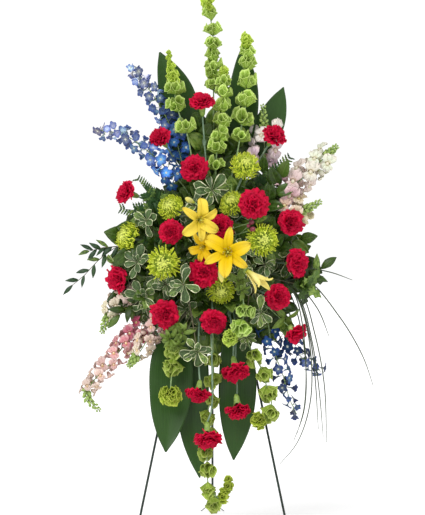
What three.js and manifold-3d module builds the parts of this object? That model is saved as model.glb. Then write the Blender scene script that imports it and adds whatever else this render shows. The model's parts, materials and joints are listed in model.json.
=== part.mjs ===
// A standing funeral spray: cut flowers and foliage in a block of floral foam, tied to a folding wire easel.
// Millimetres, +Z up, the face of the spray towards -Y. The easel's two front legs lean back, and its rear
// leg swings on a pin between them. Flowers and leaves are laid out as the face is seen from EYE.
import * as THREE from "three";
import { mergeVertices } from "three/addons/utils/BufferGeometryUtils.js";
import Module from "manifold-3d";

const wasm = await Module();
wasm.setup();
const { Vector3, Matrix4, Quaternion } = THREE;
const UP = new Vector3(0, 0, 1);
const FRONT = new Vector3(0, -1, 0);
const GAP = 0.3;
const TOLERANCE = 0.25;

// Where the face is looked at from: in front of the easel's head, at the middle of the spray's height.
const EYE = { distance: 6000, height: 755, across: 5 };

// Easel: rods, the spread of the front feet to each side, and where the feet and the head stand in depth.
const EASEL = {
  height: 965, halfSpread: 207, topHalfSpread: 10, frontFoot: -200, head: 60, rearFoot: 380, rodR: 3.25,
};
const PIN = { z: 945, r: 3, eyeInner: 3.5, eyeOuter: 8, eyeWidth: 8 };
const BAR = { r: 2.5, upperReach: 54, lowerReach: 92 };
const HOOK = { x: 30, r: 2 };
const REAR_FORK = { reach: 34, rise: 30, r: 1.8 };
const LEAN = Math.atan((EASEL.head - EASEL.frontFoot) / EASEL.height);

// Floral foam block in its tray; the rim stands round the foam, and two lugs at the top take the ties.
const FOAM = { width: 110, depth: 80, height: 230, middle: 748 };
const TRAY = { wall: 3, rim: 12, lugWidth: 16, lugHeight: 14, lugX: 46, slot: 6 };
const TIE = { width: 4, thick: 1.2 };

// Stem roots in the foam, as [across, forward of the foam's back, up from its middle].
const ROOT = {
  blooms: [0, 50, 0], lilies: [-4, 67, 8],
  bellsTop: [0, 33, 68], bellsLow: [0, 36, -72], bellsFace: [30, 66, -34],
  leavesTop: [0, 14, 76], leavesLow: [0, 13, -74],
  delphiniumLeft: [-34, 26, 58], delphiniumRight: [36, 30, -62],
  snapdragonRight: [36, 26, 56], snapdragonLeft: [-36, 28, -58],
  pittosporumLeft: [-34, 56, -6], pittosporumRight: [36, 58, 4],
  leavesLeft: [-38, 18, -4], leavesRight: [40, 18, -8],
  fernLeft: [-34, 52, 42], fernRight: [34, 52, 36],
  ruscus: [-46, 38, -6], grass: [44, 44, -36],
};
const BLOOM_SPINE = 38;
const ROOT_BALL = 5;

const COLOURS = {
  steel: { color: "#1c3a2c", roughness: 0.45, metalness: 0.6 },
  plastic: { color: "#2f6b3c", roughness: 0.6 },
  foam: { color: "#3d7a45", roughness: 0.95 }, tie: { color: "#e6e6e0", roughness: 0.5 },
  stem: { color: "#6f9a5a", roughness: 0.7 }, carnation: { color: "#c8102e", roughness: 0.8 },
  mum: { color: "#a9c72b", roughness: 0.75 }, lily: { color: "#f7c928", roughness: 0.6 },
  bells: { color: "#8cb63c", roughness: 0.7 }, delphinium: { color: "#3b5fb5", roughness: 0.7 },
  snapdragon: { color: "#e2b3b0", roughness: 0.7 }, aspidistra: { color: "#1f4a26", roughness: 0.4 },
  pittosporum: { color: "#5e7d5a", roughness: 0.6 }, foliage: { color: "#2c5a2c", roughness: 0.55 },
  fern: { color: "#356838", roughness: 0.7 }, grass: { color: "#5a6b4e", roughness: 0.6 },
};

// Heads: at = [across, out towards the viewer, up], the way each faces, and its radius.
const CARNATIONS = [
  { at: [-25, 98, 1190], facing: [-0.05, -0.45, 0.9], size: 39 },
  { at: [-143, 88, 1089], facing: [-0.5, -0.6, 0.6], size: 35 },
  { at: [-45, 128, 1005], facing: [-0.05, -0.95, 0.25], size: 39 },
  { at: [178, 82, 1095], facing: [0.4, -0.6, 0.6], size: 37 },
  { at: [-235, 75, 938], facing: [-0.8, -0.5, 0.3], size: 37 },
  { at: [120, 230, 904], facing: [0.1, -1, 0.15], size: 43 },
  { at: [224, 138, 854], facing: [0.5, -0.85, 0.1], size: 41 },
  { at: [-112, 215, 826], facing: [-0.15, -1, 0], size: 37 },
  { at: [28, 200, 842], facing: [0.1, -1, 0.15], size: 38 },
  { at: [243, 138, 739], facing: [0.7, -0.7, 0], size: 41 },
  { at: [-20, 228, 714], facing: [0, -1, 0.05], size: 40 },
  { at: [-260, 85, 694], facing: [-0.75, -0.65, -0.1], size: 40 },
  { at: [190, 188, 644], facing: [0.4, -0.9, -0.05], size: 40 },
  { at: [-129, 188, 596], facing: [-0.25, -0.9, -0.25], size: 42 },
  { at: [8, 222, 574], facing: [0.05, -0.85, -0.45], size: 38 },
  { at: [238, 140, 543], facing: [0.45, -0.5, -0.7], size: 33 },
  { at: [70, 190, 437], facing: [0.15, -0.45, -0.85], size: 41 },
  { at: [-36, 212, 374], facing: [-0.15, -0.35, -0.9], size: 36 },
  { at: [76, 188, 328], facing: [0.1, -0.35, -0.93], size: 41 },
  { at: [-8, 222, 249], facing: [0.05, -0.35, -0.93], size: 42 },
];
const MUMS = [
  { at: [98, 128, 1019], facing: [0.1, -0.75, 0.65], size: 43, droop: 0.55 },
  { at: [-115, 178, 899], facing: [-0.4, -0.8, 0.4], size: 37, droop: 0.1 },
  { at: [58, 150, 912], facing: [-0.25, -0.7, 0.6], size: 37, droop: 0.35 },
  { at: [-238, 97, 815], facing: [-0.75, -0.55, 0.3], size: 42, droop: 0 },
  { at: [148, 215, 804], facing: [0.2, -1, 0], size: 43, droop: 0.35 },
  { at: [-134, 235, 739], facing: [-0.1, -1, 0], size: 46, droop: 0.35 },
  { at: [30, 192, 661], facing: [0.1, -0.9, -0.3], size: 38, droop: 0.2 },
];
const LILIES = [
  {
    name: "lily_upper", at: [-28, 288, 860], facing: [0.2, -0.97, -0.05],
    size: 60, roll: -0.33, openness: 1,
  },
  {
    name: "lily_lower", at: [48, 312, 770], facing: [0, -1, 0.05],
    size: 70, roll: 0.5, openness: 1,
  },
  {
    name: "lily_side", at: [-26, 262, 782], facing: [-0.5, -0.8, -0.25],
    size: 46, roll: 0.5, openness: 1,
  },
  {
    name: "lily_half_open", at: [114, 265, 702], facing: [0.66, -0.35, -0.66],
    size: 58, roll: 0.3, openness: 0.3,
  },
];
const LILY_BUDS = [
  { at: [28, 262, 708], facing: [0.15, -0.3, -0.95], length: 48 },
  { at: [-58, 232, 915], facing: [-0.7, -0.5, 0.35], length: 34 },
];

// Bells of Ireland: points of each stem as [across, out, up, size of the whorl there, 0 where bare].
const BELLS_UPPER = [
  [[5, 22, 1000, 0], [8, 20, 1120, 0], [8, 19, 1224, 0.95], [8, 18, 1252, 0.95], [8, 17, 1280, 0.95],
    [8, 16, 1308, 0.95], [6, 15, 1341, 0.95], [6, 15, 1380, 0.95], [0, 15, 1422, 0.95],
    [-6, 15, 1460, 0.8], [-8, 14, 1490, 0.5]],
  [[14, 62, 950, 0], [14, 66, 1005, 0.9], [17, 68, 1048, 0.95], [22, 68, 1084, 1.05],
    [31, 68, 1120, 1.1], [31, 66, 1160, 1.1], [36, 66, 1198, 1.05], [36, 66, 1232, 0.95],
    [36, 65, 1260, 0.7], [37, 64, 1280, 0.45]],
  [[66, 54, 1010, 0], [81, 56, 1084, 1.1], [87, 56, 1130, 1.15], [98, 55, 1182, 1.15],
    [101, 52, 1232, 1.15], [101, 50, 1280, 1.1], [101, 48, 1319, 1], [101, 45, 1352, 0.8],
    [98, 42, 1376, 0.5]],
  [[-46, 60, 1000, 0], [-67, 64, 1103, 1.1], [-92, 62, 1168, 1.15], [-101, 60, 1216, 1.1],
    [-106, 58, 1252, 0.75], [-110, 56, 1280, 0.55], [-115, 54, 1306, 0.45], [-118, 52, 1332, 0.35]],
];
const BELLS_FACE = [
  [80, 185, 700, 0], [92, 215, 622, 1.15], [88, 222, 576, 1.2], [66, 216, 545, 0], [53, 230, 528, 1.25],
];
const BELLS_LOWER = [
  [[-62, 125, 560, 0], [-95, 170, 515, 1.2], [-104, 180, 468, 1.2], [-112, 190, 395, 0],
    [-112, 206, 372, 1.6]],
  [[88, 120, 560, 0], [115, 160, 490, 1.05], [143, 165, 442, 1.05], [157, 168, 392, 1.1],
    [171, 172, 339, 1.15], [152, 176, 306, 0], [134, 190, 298, 1.3]],
  [[6, 112, 560, 0], [6, 145, 482, 1], [8, 150, 426, 1], [6, 152, 372, 1], [-8, 150, 322, 1],
    [4, 150, 274, 0.95], [-10, 162, 226, 1], [-10, 194, 176, 1.1], [-8, 198, 124, 1.15],
    [3, 200, 76, 1.2]],
];
// The lowest stem's end curls up again from between its last two whorls.
const BELLS_CURL = [[-4, 199, 100, 0], [22, 202, 84, 0.7], [44, 200, 104, 0.65], [49, 198, 134, 0.5]];

// Spikes: the path, how many tiers of flowers, and the share of the path where they begin.
const DELPHINIUM_UPPER = [
  {
    path: [[-70, 36, 975], [-96, 28, 1080], [-128, 28, 1154], [-171, 34, 1224], [-222, 36, 1290]],
    tiers: 9, from: 0.14,
  },
  {
    path: [[-66, 72, 940], [-132, 98, 1013], [-180, 98, 1056], [-241, 84, 1098], [-312, 68, 1112]],
    tiers: 9, from: 0.1,
  },
];
const DELPHINIUM_LOWER = [
  {
    path: [[150, 118, 600], [171, 122, 510], [202, 122, 426], [222, 120, 356], [240, 118, 318]],
    tiers: 7, from: 0.12,
  },
  { path: [[172, 84, 585], [216, 86, 524], [250, 86, 480], [308, 84, 436]], tiers: 5, from: 0.26 },
];
const SNAPDRAGONS_RIGHT = [
  { path: [[105, 22, 960], [146, 20, 1030], [150, 22, 1110], [146, 24, 1182]], tiers: 7, from: 0.28 },
  {
    path: [[150, 62, 925], [215, 70, 948], [275, 74, 992], [320, 74, 1036], [354, 72, 1068]],
    tiers: 10, from: 0.12,
  },
  { path: [[160, 60, 850], [225, 82, 885], [269, 84, 892], [308, 84, 912]], tiers: 5, from: 0.3 },
];
const SNAPDRAGONS_LEFT = [
  {
    path: [[-150, 60, 660], [-235, 66, 646], [-275, 68, 610], [-296, 68, 572], [-304, 68, 544]],
    tiers: 5, from: 0.3,
  },
  {
    path: [[-140, 80, 590], [-227, 88, 526], [-280, 88, 460], [-335, 86, 400], [-346, 85, 364],
      [-311, 84, 326]],
    tiers: 11, from: 0.16,
  },
  { path: [[-110, 110, 590], [-165, 136, 545], [-192, 136, 500], [-230, 134, 450]], tiers: 6, from: 0.2 },
];

// Aspidistra leaves: the path from the stalk to the tip and the widest half width.
const ASPIDISTRA_UPPER = [
  { path: [[-40, 0, 960], [-80, -10, 1110], [-95, -12, 1210], [-143, -18, 1330]], halfWidth: 56 },
  { path: [[35, 2, 960], [78, -2, 1120], [92, -4, 1230], [88, -10, 1345]], halfWidth: 47 },
  { path: [[70, -20, 960], [120, -22, 1050], [165, -24, 1130], [204, -26, 1232]], halfWidth: 45 },
];
const ASPIDISTRA_LOWER = [
  { path: [[-60, 92, 600], [-104, 120, 500], [-112, 138, 370], [-126, 166, 210]], halfWidth: 60 },
  { path: [[-22, 78, 560], [-48, 108, 400], [-48, 114, 290], [-31, 124, 138]], halfWidth: 44 },
  { path: [[45, 86, 590], [72, 108, 470], [74, 114, 350], [64, 124, 188]], halfWidth: 52 },
];

// Leaf outlines, as [share of the length, share of the half width].
const SPOON = [[0, 0.08], [0.62, 1], [1, 0]];
const OVAL = [[0, 0.06], [0.36, 1], [0.7, 0.8], [1, 0]];
const SLIM = [[0, 0.12], [0.45, 1], [1, 0]];

// Pittosporum branches: where each forks, and its whorls of spoon-shaped leaves.
const PITTOSPORUM_LEFT = [
  { fork: [-120, 110, 760], rosettes: [{ at: [-180, 135, 858], leaves: 8, length: 46 },
    { at: [-205, 132, 742], leaves: 8, length: 46 }, { at: [-190, 118, 645], leaves: 8, length: 48 }] },
  { fork: [-62, 190, 640], rosettes: [{ at: [-78, 250, 680], leaves: 8, length: 50 },
    { at: [-38, 222, 492], leaves: 8, length: 46 }] },
];
const PITTOSPORUM_RIGHT = [
  { fork: [110, 140, 690], rosettes: [{ at: [94, 188, 776], leaves: 6, length: 42 },
    { at: [140, 192, 600], leaves: 8, length: 48 }, { at: [98, 150, 530], leaves: 6, length: 38 }] },
  { fork: [44, 60, 884], rosettes: [{ at: [4, 140, 944], leaves: 8, length: 54 }] },
];
// Branches of broad oval leaves to the left and right by turns.
const LEAVES_LEFT = [
  { path: [[-120, 70, 780], [-180, 92, 800], [-225, 100, 775]], leaves: 7, length: 68, width: 0.3 },
  {
    path: [[-140, 76, 650], [-215, 92, 625], [-262, 90, 588]],
    leaves: 7, length: 58, width: 0.2, shape: SLIM,
  },
];
const LEAVES_RIGHT = [
  { path: [[120, 70, 860], [180, 96, 930], [200, 98, 990]], leaves: 6, length: 66, width: 0.29 },
  { path: [[130, 70, 790], [200, 108, 800], [262, 108, 806]], leaves: 5, length: 58, width: 0.3 },
  {
    path: [[130, 70, 700], [200, 84, 690], [268, 84, 690], [316, 82, 730]],
    leaves: 8, length: 56, width: 0.22, shape: SLIM,
  },
  { path: [[126, 58, 664], [188, 90, 612], [205, 102, 560]], leaves: 5, length: 58, width: 0.28 },
];
const FERNS_LEFT = [
  [[-96, 66, 880], [-165, 84, 925], [-205, 92, 975]],
  [[-100, 74, 862], [-190, 84, 884], [-252, 84, 892]],
];
const FERN_RIGHT = [[96, 62, 900], [166, 56, 975], [222, 60, 1036]];
const RUSCUS_LEAF = { length: 42, width: 0.16, spread: 0.75, shape: SLIM };
const RUSCUS = [
  {
    path: [[-150, 62, 760], [-240, 74, 792], [-311, 72, 750], [-353, 70, 706], [-394, 66, 672]],
    leaves: 13, from: 0.12, ...RUSCUS_LEAF,
  },
  {
    start: [-262, 74, 786], path: [[-300, 78, 782], [-345, 78, 772]],
    leaves: 5, from: 0.1, ...RUSCUS_LEAF,
  },
];
// Bear grass: each blade's path from the bunch to its tip.
const GRASS = {
  bunch: [205, 100, 690], r: 1.2,
  blades: [
    [[262, 108, 722], [330, 112, 715], [402, 114, 690]],
    [[270, 110, 690], [360, 116, 590], [425, 118, 480], [459, 120, 384]],
    [[250, 104, 670], [300, 104, 610], [333, 104, 530]],
    [[256, 124, 650], [292, 138, 540], [318, 142, 400], [325, 144, 224]],
    [[250, 118, 640], [284, 130, 520], [304, 132, 380], [316, 134, 240]],
    [[244, 140, 640], [276, 156, 520], [280, 156, 360], [244, 154, 240], [184, 150, 166]],
    [[240, 148, 640], [264, 164, 500], [262, 164, 340], [238, 162, 250]],
    [[246, 98, 640], [280, 98, 520], [292, 100, 420], [302, 100, 262]],
    [[236, 94, 620], [264, 95, 480], [262, 96, 330], [228, 96, 230]],
  ],
};

// Places a point of the face, given as it is seen from EYE on the plane at the origin, at its real depth.
function seen([across, out, up]) {
  const pull = 1 - out / EYE.distance;
  return new Vector3((across - EYE.across) * pull, -out, EYE.height + (up - EYE.height) * pull);
}

// The foam block's middle stands in front of the easel's plane, clear of the cross bars and the tray.
const easelNormal = new Vector3(0, -Math.cos(LEAN), Math.sin(LEAN));
const easelDepthAt = (z) => EASEL.frontFoot + Math.tan(LEAN) * z;
const legXAt = (z) => EASEL.halfSpread + (EASEL.topHalfSpread - EASEL.halfSpread) * (z / EASEL.height);
const foamBack = EASEL.rodR + GAP + 2 * BAR.r + GAP + TRAY.wall + GAP;
const foamCentre = new Vector3(0, easelDepthAt(FOAM.middle), FOAM.middle)
  .addScaledVector(easelNormal, foamBack + FOAM.depth / 2);
const foamFrame = new Matrix4().makeRotationX(-LEAN).setPosition(foamCentre);

// A point in the foam, from its place across, forward of the back face and up from the middle.
function inFoam([across, forward, up]) {
  return new Vector3(across, FOAM.depth / 2 - forward, up).applyMatrix4(foamFrame);
}

// A ring of points round +Z; radius and height may be given point by point.
function ring(count, radius, height = 0) {
  return Array.from({ length: count }, (_, i) => {
    const angle = (2 * Math.PI * i) / count;
    const r = typeof radius === "function" ? radius(i, angle) : radius;
    const h = typeof height === "function" ? height(i, angle) : height;
    return new Vector3(r * Math.cos(angle), r * Math.sin(angle), h);
  });
}
const apex = (height) => [new Vector3(0, 0, height)];

// A closed surface through rings of points in order. A ring may have a whole number of times the points of
// the next one, down to a single point, and the end rings are capped flat.
function loft(rings) {
  const faces = [];
  const fan = (start) => (_, i) => [start, start + i + 1, start + i + 2];
  const capped = (start, count) => Array.from({ length: Math.max(0, count - 2) }, fan(start));
  let start = 0;
  capped(0, rings[0].length).forEach(([a, b, c]) => faces.push(a, c, b));
  for (let k = 0; k + 1 < rings.length; k++) {
    const [na, nb] = [rings[k].length, rings[k + 1].length];
    const count = Math.max(na, nb);
    const nextStart = start + na;
    const point = (i, n) => Math.floor((i * n) / count) % n;
    for (let i = 0; i < count; i++) {
      const [a, b] = [start + point(i, na), nextStart + point(i, nb)];
      const [a2, b2] = [start + point(i + 1, na), nextStart + point(i + 1, nb)];
      if (a !== a2) faces.push(a, a2, b2);
      if (b !== b2) faces.push(a, b2, b);
    }
    start = nextStart;
  }
  capped(start, rings[rings.length - 1].length).forEach((face) => faces.push(...face));
  return new THREE.BufferGeometry().setFromPoints(rings.flat()).setIndex(faces);
}

// A geometry as a solid that can be joined and cut, with its faces turned outwards.
function solidOf(geometry) {
  const bare = geometry.clone();
  bare.deleteAttribute("normal");
  bare.deleteAttribute("uv");
  const merged = mergeVertices(bare, 1e-4);
  const flip = (faces) => faces.map((_, i) => faces[i % 3 === 0 ? i : i % 3 === 1 ? i + 1 : i - 1]);
  const vertProperties = merged.attributes.position.array;
  const make = (triVerts) => new wasm.Manifold(new wasm.Mesh({ numProp: 3, vertProperties, triVerts }));
  const faces = new Uint32Array(merged.index.array);
  const solid = make(faces);
  return solid.volume() < 0 ? make(flip(faces)) : solid;
}
const lofted = (rings) => solidOf(loft(rings));
const joined = (solids) => wasm.Manifold.union(solids);

function meshOf(name, solid, colour) {
  const { numProp, vertProperties, triVerts } = solid.getMesh();
  const positions = new Float32Array(triVerts.length * 3);
  const corner = (vertex) => vertProperties.subarray(vertex * numProp, vertex * numProp + 3);
  triVerts.forEach((vertex, i) => positions.set(corner(vertex), i * 3));
  const geometry = new THREE.BufferGeometry();
  geometry.setAttribute("position", new THREE.BufferAttribute(positions, 3));
  geometry.computeVertexNormals();
  const mesh = new THREE.Mesh(geometry, new THREE.MeshStandardMaterial(COLOURS[colour]));
  mesh.name = name;
  return mesh;
}

// The turn that brings +Z to a direction, then rolls about it.
function turnTo(direction, roll = 0) {
  const turn = new Quaternion().setFromUnitVectors(UP, direction.clone().normalize());
  return turn.multiply(new Quaternion().setFromAxisAngle(UP, roll));
}
function placed(rings, position, turn) {
  const moved = (point) => point.clone().applyQuaternion(turn).add(position);
  return rings.map((points) => points.map(moved));
}

// Stations along a line of points: each one's place, its direction, and a turn that carries +Z there
// without twisting.
function stations(points) {
  const steps = points.slice(1).map((p, i) => p.clone().sub(points[i]).normalize());
  let turn = null;
  return points.map((at, k) => {
    const ahead = (steps[k] ?? steps[k - 1]).clone().add(steps[k - 1] ?? steps[k]).normalize();
    const before = turn ? UP.clone().applyQuaternion(turn) : null;
    turn = turn ? new Quaternion().setFromUnitVectors(before, ahead).multiply(turn) : turnTo(ahead);
    return { at, ahead, turn };
  });
}

// A round tube through points, with a radius at each; a last radius of 0 ends it in a point.
function tube(points, radii, sides) {
  const rings = stations(points).map(({ at, turn }, k) =>
    placed([radii[k] === 0 ? apex(0) : ring(sides, radii[k])], at, turn)[0]);
  return lofted(rings);
}

// Holes in the foam for the stems, of the stem's own section and a gap wider.
const holes = [];
function hole(from, to, radius, sides = 4) {
  const wide = radius + GAP / Math.cos(Math.PI / sides) + 0.02;
  const back = to.clone().sub(from).normalize().multiplyScalar(-2 * GAP);
  holes.push(tube([from.clone().add(back), to], [wide, wide], sides));
}
// Where several stems of one node meet in the foam.
function rootBall(centre) {
  const ball = (radius) => solidOf(new THREE.OctahedronGeometry(radius).translate(...centre.toArray()));
  holes.push(ball(ROOT_BALL + 3));
  return ball(ROOT_BALL);
}

// A stem straight out of the foam to the first point of its path, then through the rest.
function stem(root, points, { thick, thin = thick, sides = 4 }) {
  hole(root, points[0], thick, sides);
  const radii = points.map((_, k) => thick + ((thin - thick) * k) / points.length);
  return tube([root, ...points], [thick, ...radii], sides);
}
const smooth = (path, count) => new THREE.CatmullRomCurve3(path.map(seen)).getSpacedPoints(count);

// Sections of a leaf or petal at stations: a raised midrib between two edges that are lifted by a share of
// the half width; with an edge thickness the section has six points, else four.
function bladeRings(points, halves, { face, fold = 0.15, thick = 1.6, edge = 0 }) {
  return stations(points).map(({ at, ahead }, k) => {
    const half = halves[k];
    if (half === 0) return [at];
    const side = ahead.clone().cross(face).normalize();
    const normal = side.clone().cross(ahead).normalize();
    const off = (across, lift) => at.clone().addScaledVector(side, across).addScaledVector(normal, lift);
    const lift = fold * half;
    if (edge === 0) return [off(-half, lift), off(0, thick / 2), off(half, lift), off(0, -thick / 2)];
    return [off(-half, lift + edge / 2), off(0, thick / 2), off(half, lift + edge / 2),
      off(half, lift - edge / 2), off(0, -thick / 2), off(-half, lift - edge / 2)];
  });
}

// A leaf from a base along a direction, drooping towards the ground; shape gives [share of length, share of
// width].
function leaf(base, direction, { length, halfWidth, shape, droop = 0.12, face = FRONT }) {
  const points = shape.map(([share]) => base.clone().addScaledVector(direction, share * length)
    .addScaledVector(UP, -droop * length * share * share));
  const halves = shape.map(([, half]) => half * halfWidth);
  return lofted(bladeRings(points, halves, { face, fold: 0.2, thick: 1.8 }));
}

// Carnation head: frilled tiers of petals over plain rings, as [radius, height] in head radii.
const CARNATION = {
  teeth: 12, foot: [0.2, -0.42], tiers: [[0.97, -0.14], [0.84, 0.26], [0.6, 0.5], [0.32, 0.62]],
  valleys: [[0.72, 0.04], [0.52, 0.3], [0.28, 0.42]], crown: 0.46,
};
function carnationHead({ at, facing, size }, index) {
  const half = CARNATION.teeth / 2;
  const frilled = ([radius, height], tier) => ring(CARNATION.teeth,
    (i, angle) => size * radius * (1 + (i % 2 ? 0.07 : -0.07) + 0.05 * Math.sin(3 * angle + tier + index)),
    (i, angle) => size * (height + (i % 2 ? 0.05 : -0.05) + 0.06 * Math.sin(4 * angle + 2 * tier + index)));
  const plain = ([radius, height]) => ring(half, size * radius, size * height);
  const rings = [plain(CARNATION.foot)];
  CARNATION.tiers.forEach((tier, k) => {
    rings.push(frilled(tier, k));
    rings.push(CARNATION.valleys[k] ? plain(CARNATION.valleys[k]) : apex(CARNATION.crown * size));
  });
  return lofted(placed(rings, seen(at), turnTo(new Vector3(...facing), index)));
}

// Stems of carnations and chrysanthemums leave one spine in the foam; a carnation's ends in its calyx.
const STEM = { r: 2.4, neck: 40, calyx: [[0, 3.4], [0.4, 7.5], [1, 8.5]], calyxLength: 0.62 };
const headSeat = (size) => 0.42 * size + GAP;
function bloomStem({ at, facing, size }, via, hasCalyx) {
  const head = seen(at);
  const toward = new Vector3(...facing).normalize();
  const seat = headSeat(size);
  const behind = (depth) => head.clone().addScaledVector(toward, -depth);
  const length = hasCalyx ? STEM.calyxLength * size : 0;
  const neck = behind(seat + length);
  const [x, forward] = ROOT.blooms;
  const rise = THREE.MathUtils.clamp(0.35 * (head.z - FOAM.middle), -BLOOM_SPINE, BLOOM_SPINE);
  const start = inFoam([x, forward, rise]);
  const radial = neck.clone().sub(start).normalize();
  const bend = neck.clone().addScaledVector(toward.clone().add(radial).normalize(), -STEM.neck);
  const path = [...(via ? via.map(seen) : [bend])];
  const calyx = STEM.calyx.map(([share]) => behind(seat + length * (1 - share)));
  const end = hasCalyx ? calyx : [behind(seat + 8), neck];
  const endRadii = hasCalyx ? STEM.calyx.map(([, r]) => r) : [STEM.r, STEM.r];
  hole(start, path[0], STEM.r);
  return tube([start, ...path, ...end], [STEM.r, ...path.map(() => STEM.r), ...endRadii], 4);
}
// Hanging carnations: the places their stems pass on the way down, by the head's place in the list.
const HANGING = {
  15: [[170, 90, 640], [225, 110, 590]],
  16: [[52, 128, 600], [64, 160, 500]],
  17: [[-30, 130, 590], [-33, 190, 440]],
  18: [[64, 112, 600], [70, 138, 450], [74, 155, 375]],
  19: [[0, 120, 600], [2, 186, 520], [1, 206, 320]],
};
function bloomStems() {
  const [x, forward] = ROOT.blooms;
  const spine = (radius, reach) =>
    tube([inFoam([x, forward, -reach]), inFoam([x, forward, reach])], [radius, radius], 6);
  holes.push(spine(2 * ROOT_BALL, BLOOM_SPINE + 6 + GAP));
  return [
    spine(ROOT_BALL, BLOOM_SPINE + 6),
    ...CARNATIONS.map((head, i) => bloomStem(head, HANGING[i], true)),
    ...MUMS.map((head) => bloomStem(head, null, false)),
  ];
}

// Spider chrysanthemum: tiers of thin rays over plain rings, as [reach, height] in head radii. The lowest
// rays bend down by the droop.
const MUM = {
  rays: 11, foot: [0.2, -0.42], waist: 0.42, crown: 0.5,
  tiers: [[1, -0.3, 1], [1, 0.02, 0.5], [0.84, 0.34, 0], [0.5, 0.62, 0]], valleys: [-0.16, 0.1, 0.3],
};
function mumHead({ at, facing, size, droop }, index) {
  const rayed = ([reach, height, hang], tier) => ring(2 * MUM.rays,
    (i) => size * (i % 2 ? reach * (0.92 + 0.08 * Math.sin(2 * i + index)) : 0.46 * Math.sqrt(reach)),
    (i) => size * (height - 0.1 + (i % 2 ? 0.1 - 0.4 * droop * hang + 0.05 * Math.sin(3 * i + tier) : 0)));
  const rings = [ring(MUM.rays, MUM.foot[0] * size, MUM.foot[1] * size)];
  MUM.tiers.forEach((tier, k) => {
    rings.push(rayed(tier, k));
    const inner = MUM.waist * Math.sqrt(1 - 0.28 * k) * size;
    const valley = MUM.valleys[k];
    rings.push(valley === undefined ? apex(MUM.crown * size) : ring(MUM.rays, inner, valley * size));
  });
  return lofted(placed(rings, seen(at), turnTo(new Vector3(...facing), index)));
}

// Lily: a narrow throat, three broad and three narrow tepals, six stamens and a style, in head radii.
const LILY = {
  depth: 0.62, throat: 0.2, rib: 2.2,
  open: [[0.1, -0.42], [0.34, -0.06], [0.66, 0.08], [1, -0.1]],
  shut: [[0.1, -0.42], [0.22, 0.1], [0.34, 0.54], [0.5, 0.86]],
  broad: [0.035, 0.2, 0.25, 0], narrow: [0.035, 0.14, 0.16, 0],
};
const reachUp = (height, size) => new Vector3(0, 0, height * size);
function lilyBloom({ at, facing, size, roll, openness }) {
  const spine = openness > 0.5 ? LILY.open : LILY.shut;
  const foot = -LILY.depth * size;
  const throat = [ring(6, 3.2, foot), ring(6, LILY.throat * size, -0.22 * size), apex(-0.42 * size)];
  const solids = [lofted(throat)];
  for (let k = 0; k < 6; k++) {
    const outward = new Vector3(1, 0, 0).applyAxisAngle(UP, (k * Math.PI) / 3);
    const reach = (radius, height) =>
      outward.clone().multiplyScalar(radius * size).addScaledVector(UP, height * size);
    const breadth = size * (openness > 0.5 ? 1 : 0.7);
    const halves = (k % 2 ? LILY.narrow : LILY.broad).map((half) => half * breadth);
    const points = spine.map(([radius, height]) => reach(radius, height - (k % 2 ? 0.03 : 0)));
    solids.push(lofted(bladeRings(points, halves, { face: UP, fold: 0.16, thick: LILY.rib })));
    solids.push(tube([reach(0.07, -0.37), reach(0.2, 0.24)], [1.4, 0.7], 3));
  }
  solids.push(tube([reachUp(-0.45, size), reachUp(0.3, size)], [1.4, 1.8], 3));
  const solid = joined(solids);
  const turn = turnTo(new Vector3(...facing), roll);
  const place = new Matrix4().compose(seen(at), turn, new Vector3(1, 1, 1));
  return solid.transform(place.elements);
}

const BUD = { belly: 7, stalk: 1.9 };
function lilyStems() {
  const root = inFoam(ROOT.lilies);
  const solids = [rootBall(root)];
  for (const { at, facing, size } of LILIES) {
    const toward = new Vector3(...facing).normalize();
    const neck = seen(at).addScaledVector(toward, -(LILY.depth * size + GAP));
    solids.push(stem(root, [neck.clone().addScaledVector(toward, -26), neck], { thick: 2.6, sides: 5 }));
  }
  for (const { at, facing, length } of LILY_BUDS) {
    const toward = new Vector3(...facing).normalize();
    const on = (share) => seen(at).addScaledVector(toward, (share - 0.5) * length);
    hole(root, on(0), BUD.stalk, 5);
    const radii = [BUD.stalk, BUD.stalk, BUD.belly, 0.8 * BUD.belly, 0];
    solids.push(tube([root, on(0), on(0.35), on(0.75), on(1)], radii, 5));
  }
  return solids;
}

// A stem with whorls of flowers, as cups with lobed rims round it. Each size in the list is that of the
// whorl at the point, or 0 where the stem is bare; the rim gives [radius, height] of the points of one
// flower.
function whorledStem(points, sizes, { stalk, flowers, foot, mouth, rim, roll = 0 }) {
  let rolled = 0;
  const rings = stations(points).flatMap(({ at, turn }, k) => {
    const size = sizes[k];
    const thin = stalk * (1 - (0.45 * k) / points.length);
    rolled += size > 0 ? roll : 0;
    const facing = turn.clone().multiply(new Quaternion().setFromAxisAngle(UP, rolled));
    if (size === 0) return placed([ring(flowers, thin)], at, facing);
    const lobe = (column) => (i) => size * rim[i % rim.length][column];
    const edge = ring(flowers * rim.length, lobe(0), lobe(1));
    const [under, over] = [ring(flowers, thin, foot * size), ring(flowers, 0.9 * thin, mouth * size)];
    return placed([under, edge, over], at, facing);
  });
  return lofted(rings);
}
const BELL = { stalk: 2.3, flowers: 4, foot: -10, mouth: 4, rim: [[21, 12], [13, 15]] };
function bellStem(list, root = null) {
  const points = list.map(seen);
  const sizes = list.map((point) => point[3]);
  if (!root) return whorledStem(points, sizes, BELL);
  hole(root, points[0], BELL.stalk, BELL.flowers);
  return whorledStem([root, ...points], [0, ...sizes], BELL);
}

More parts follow.
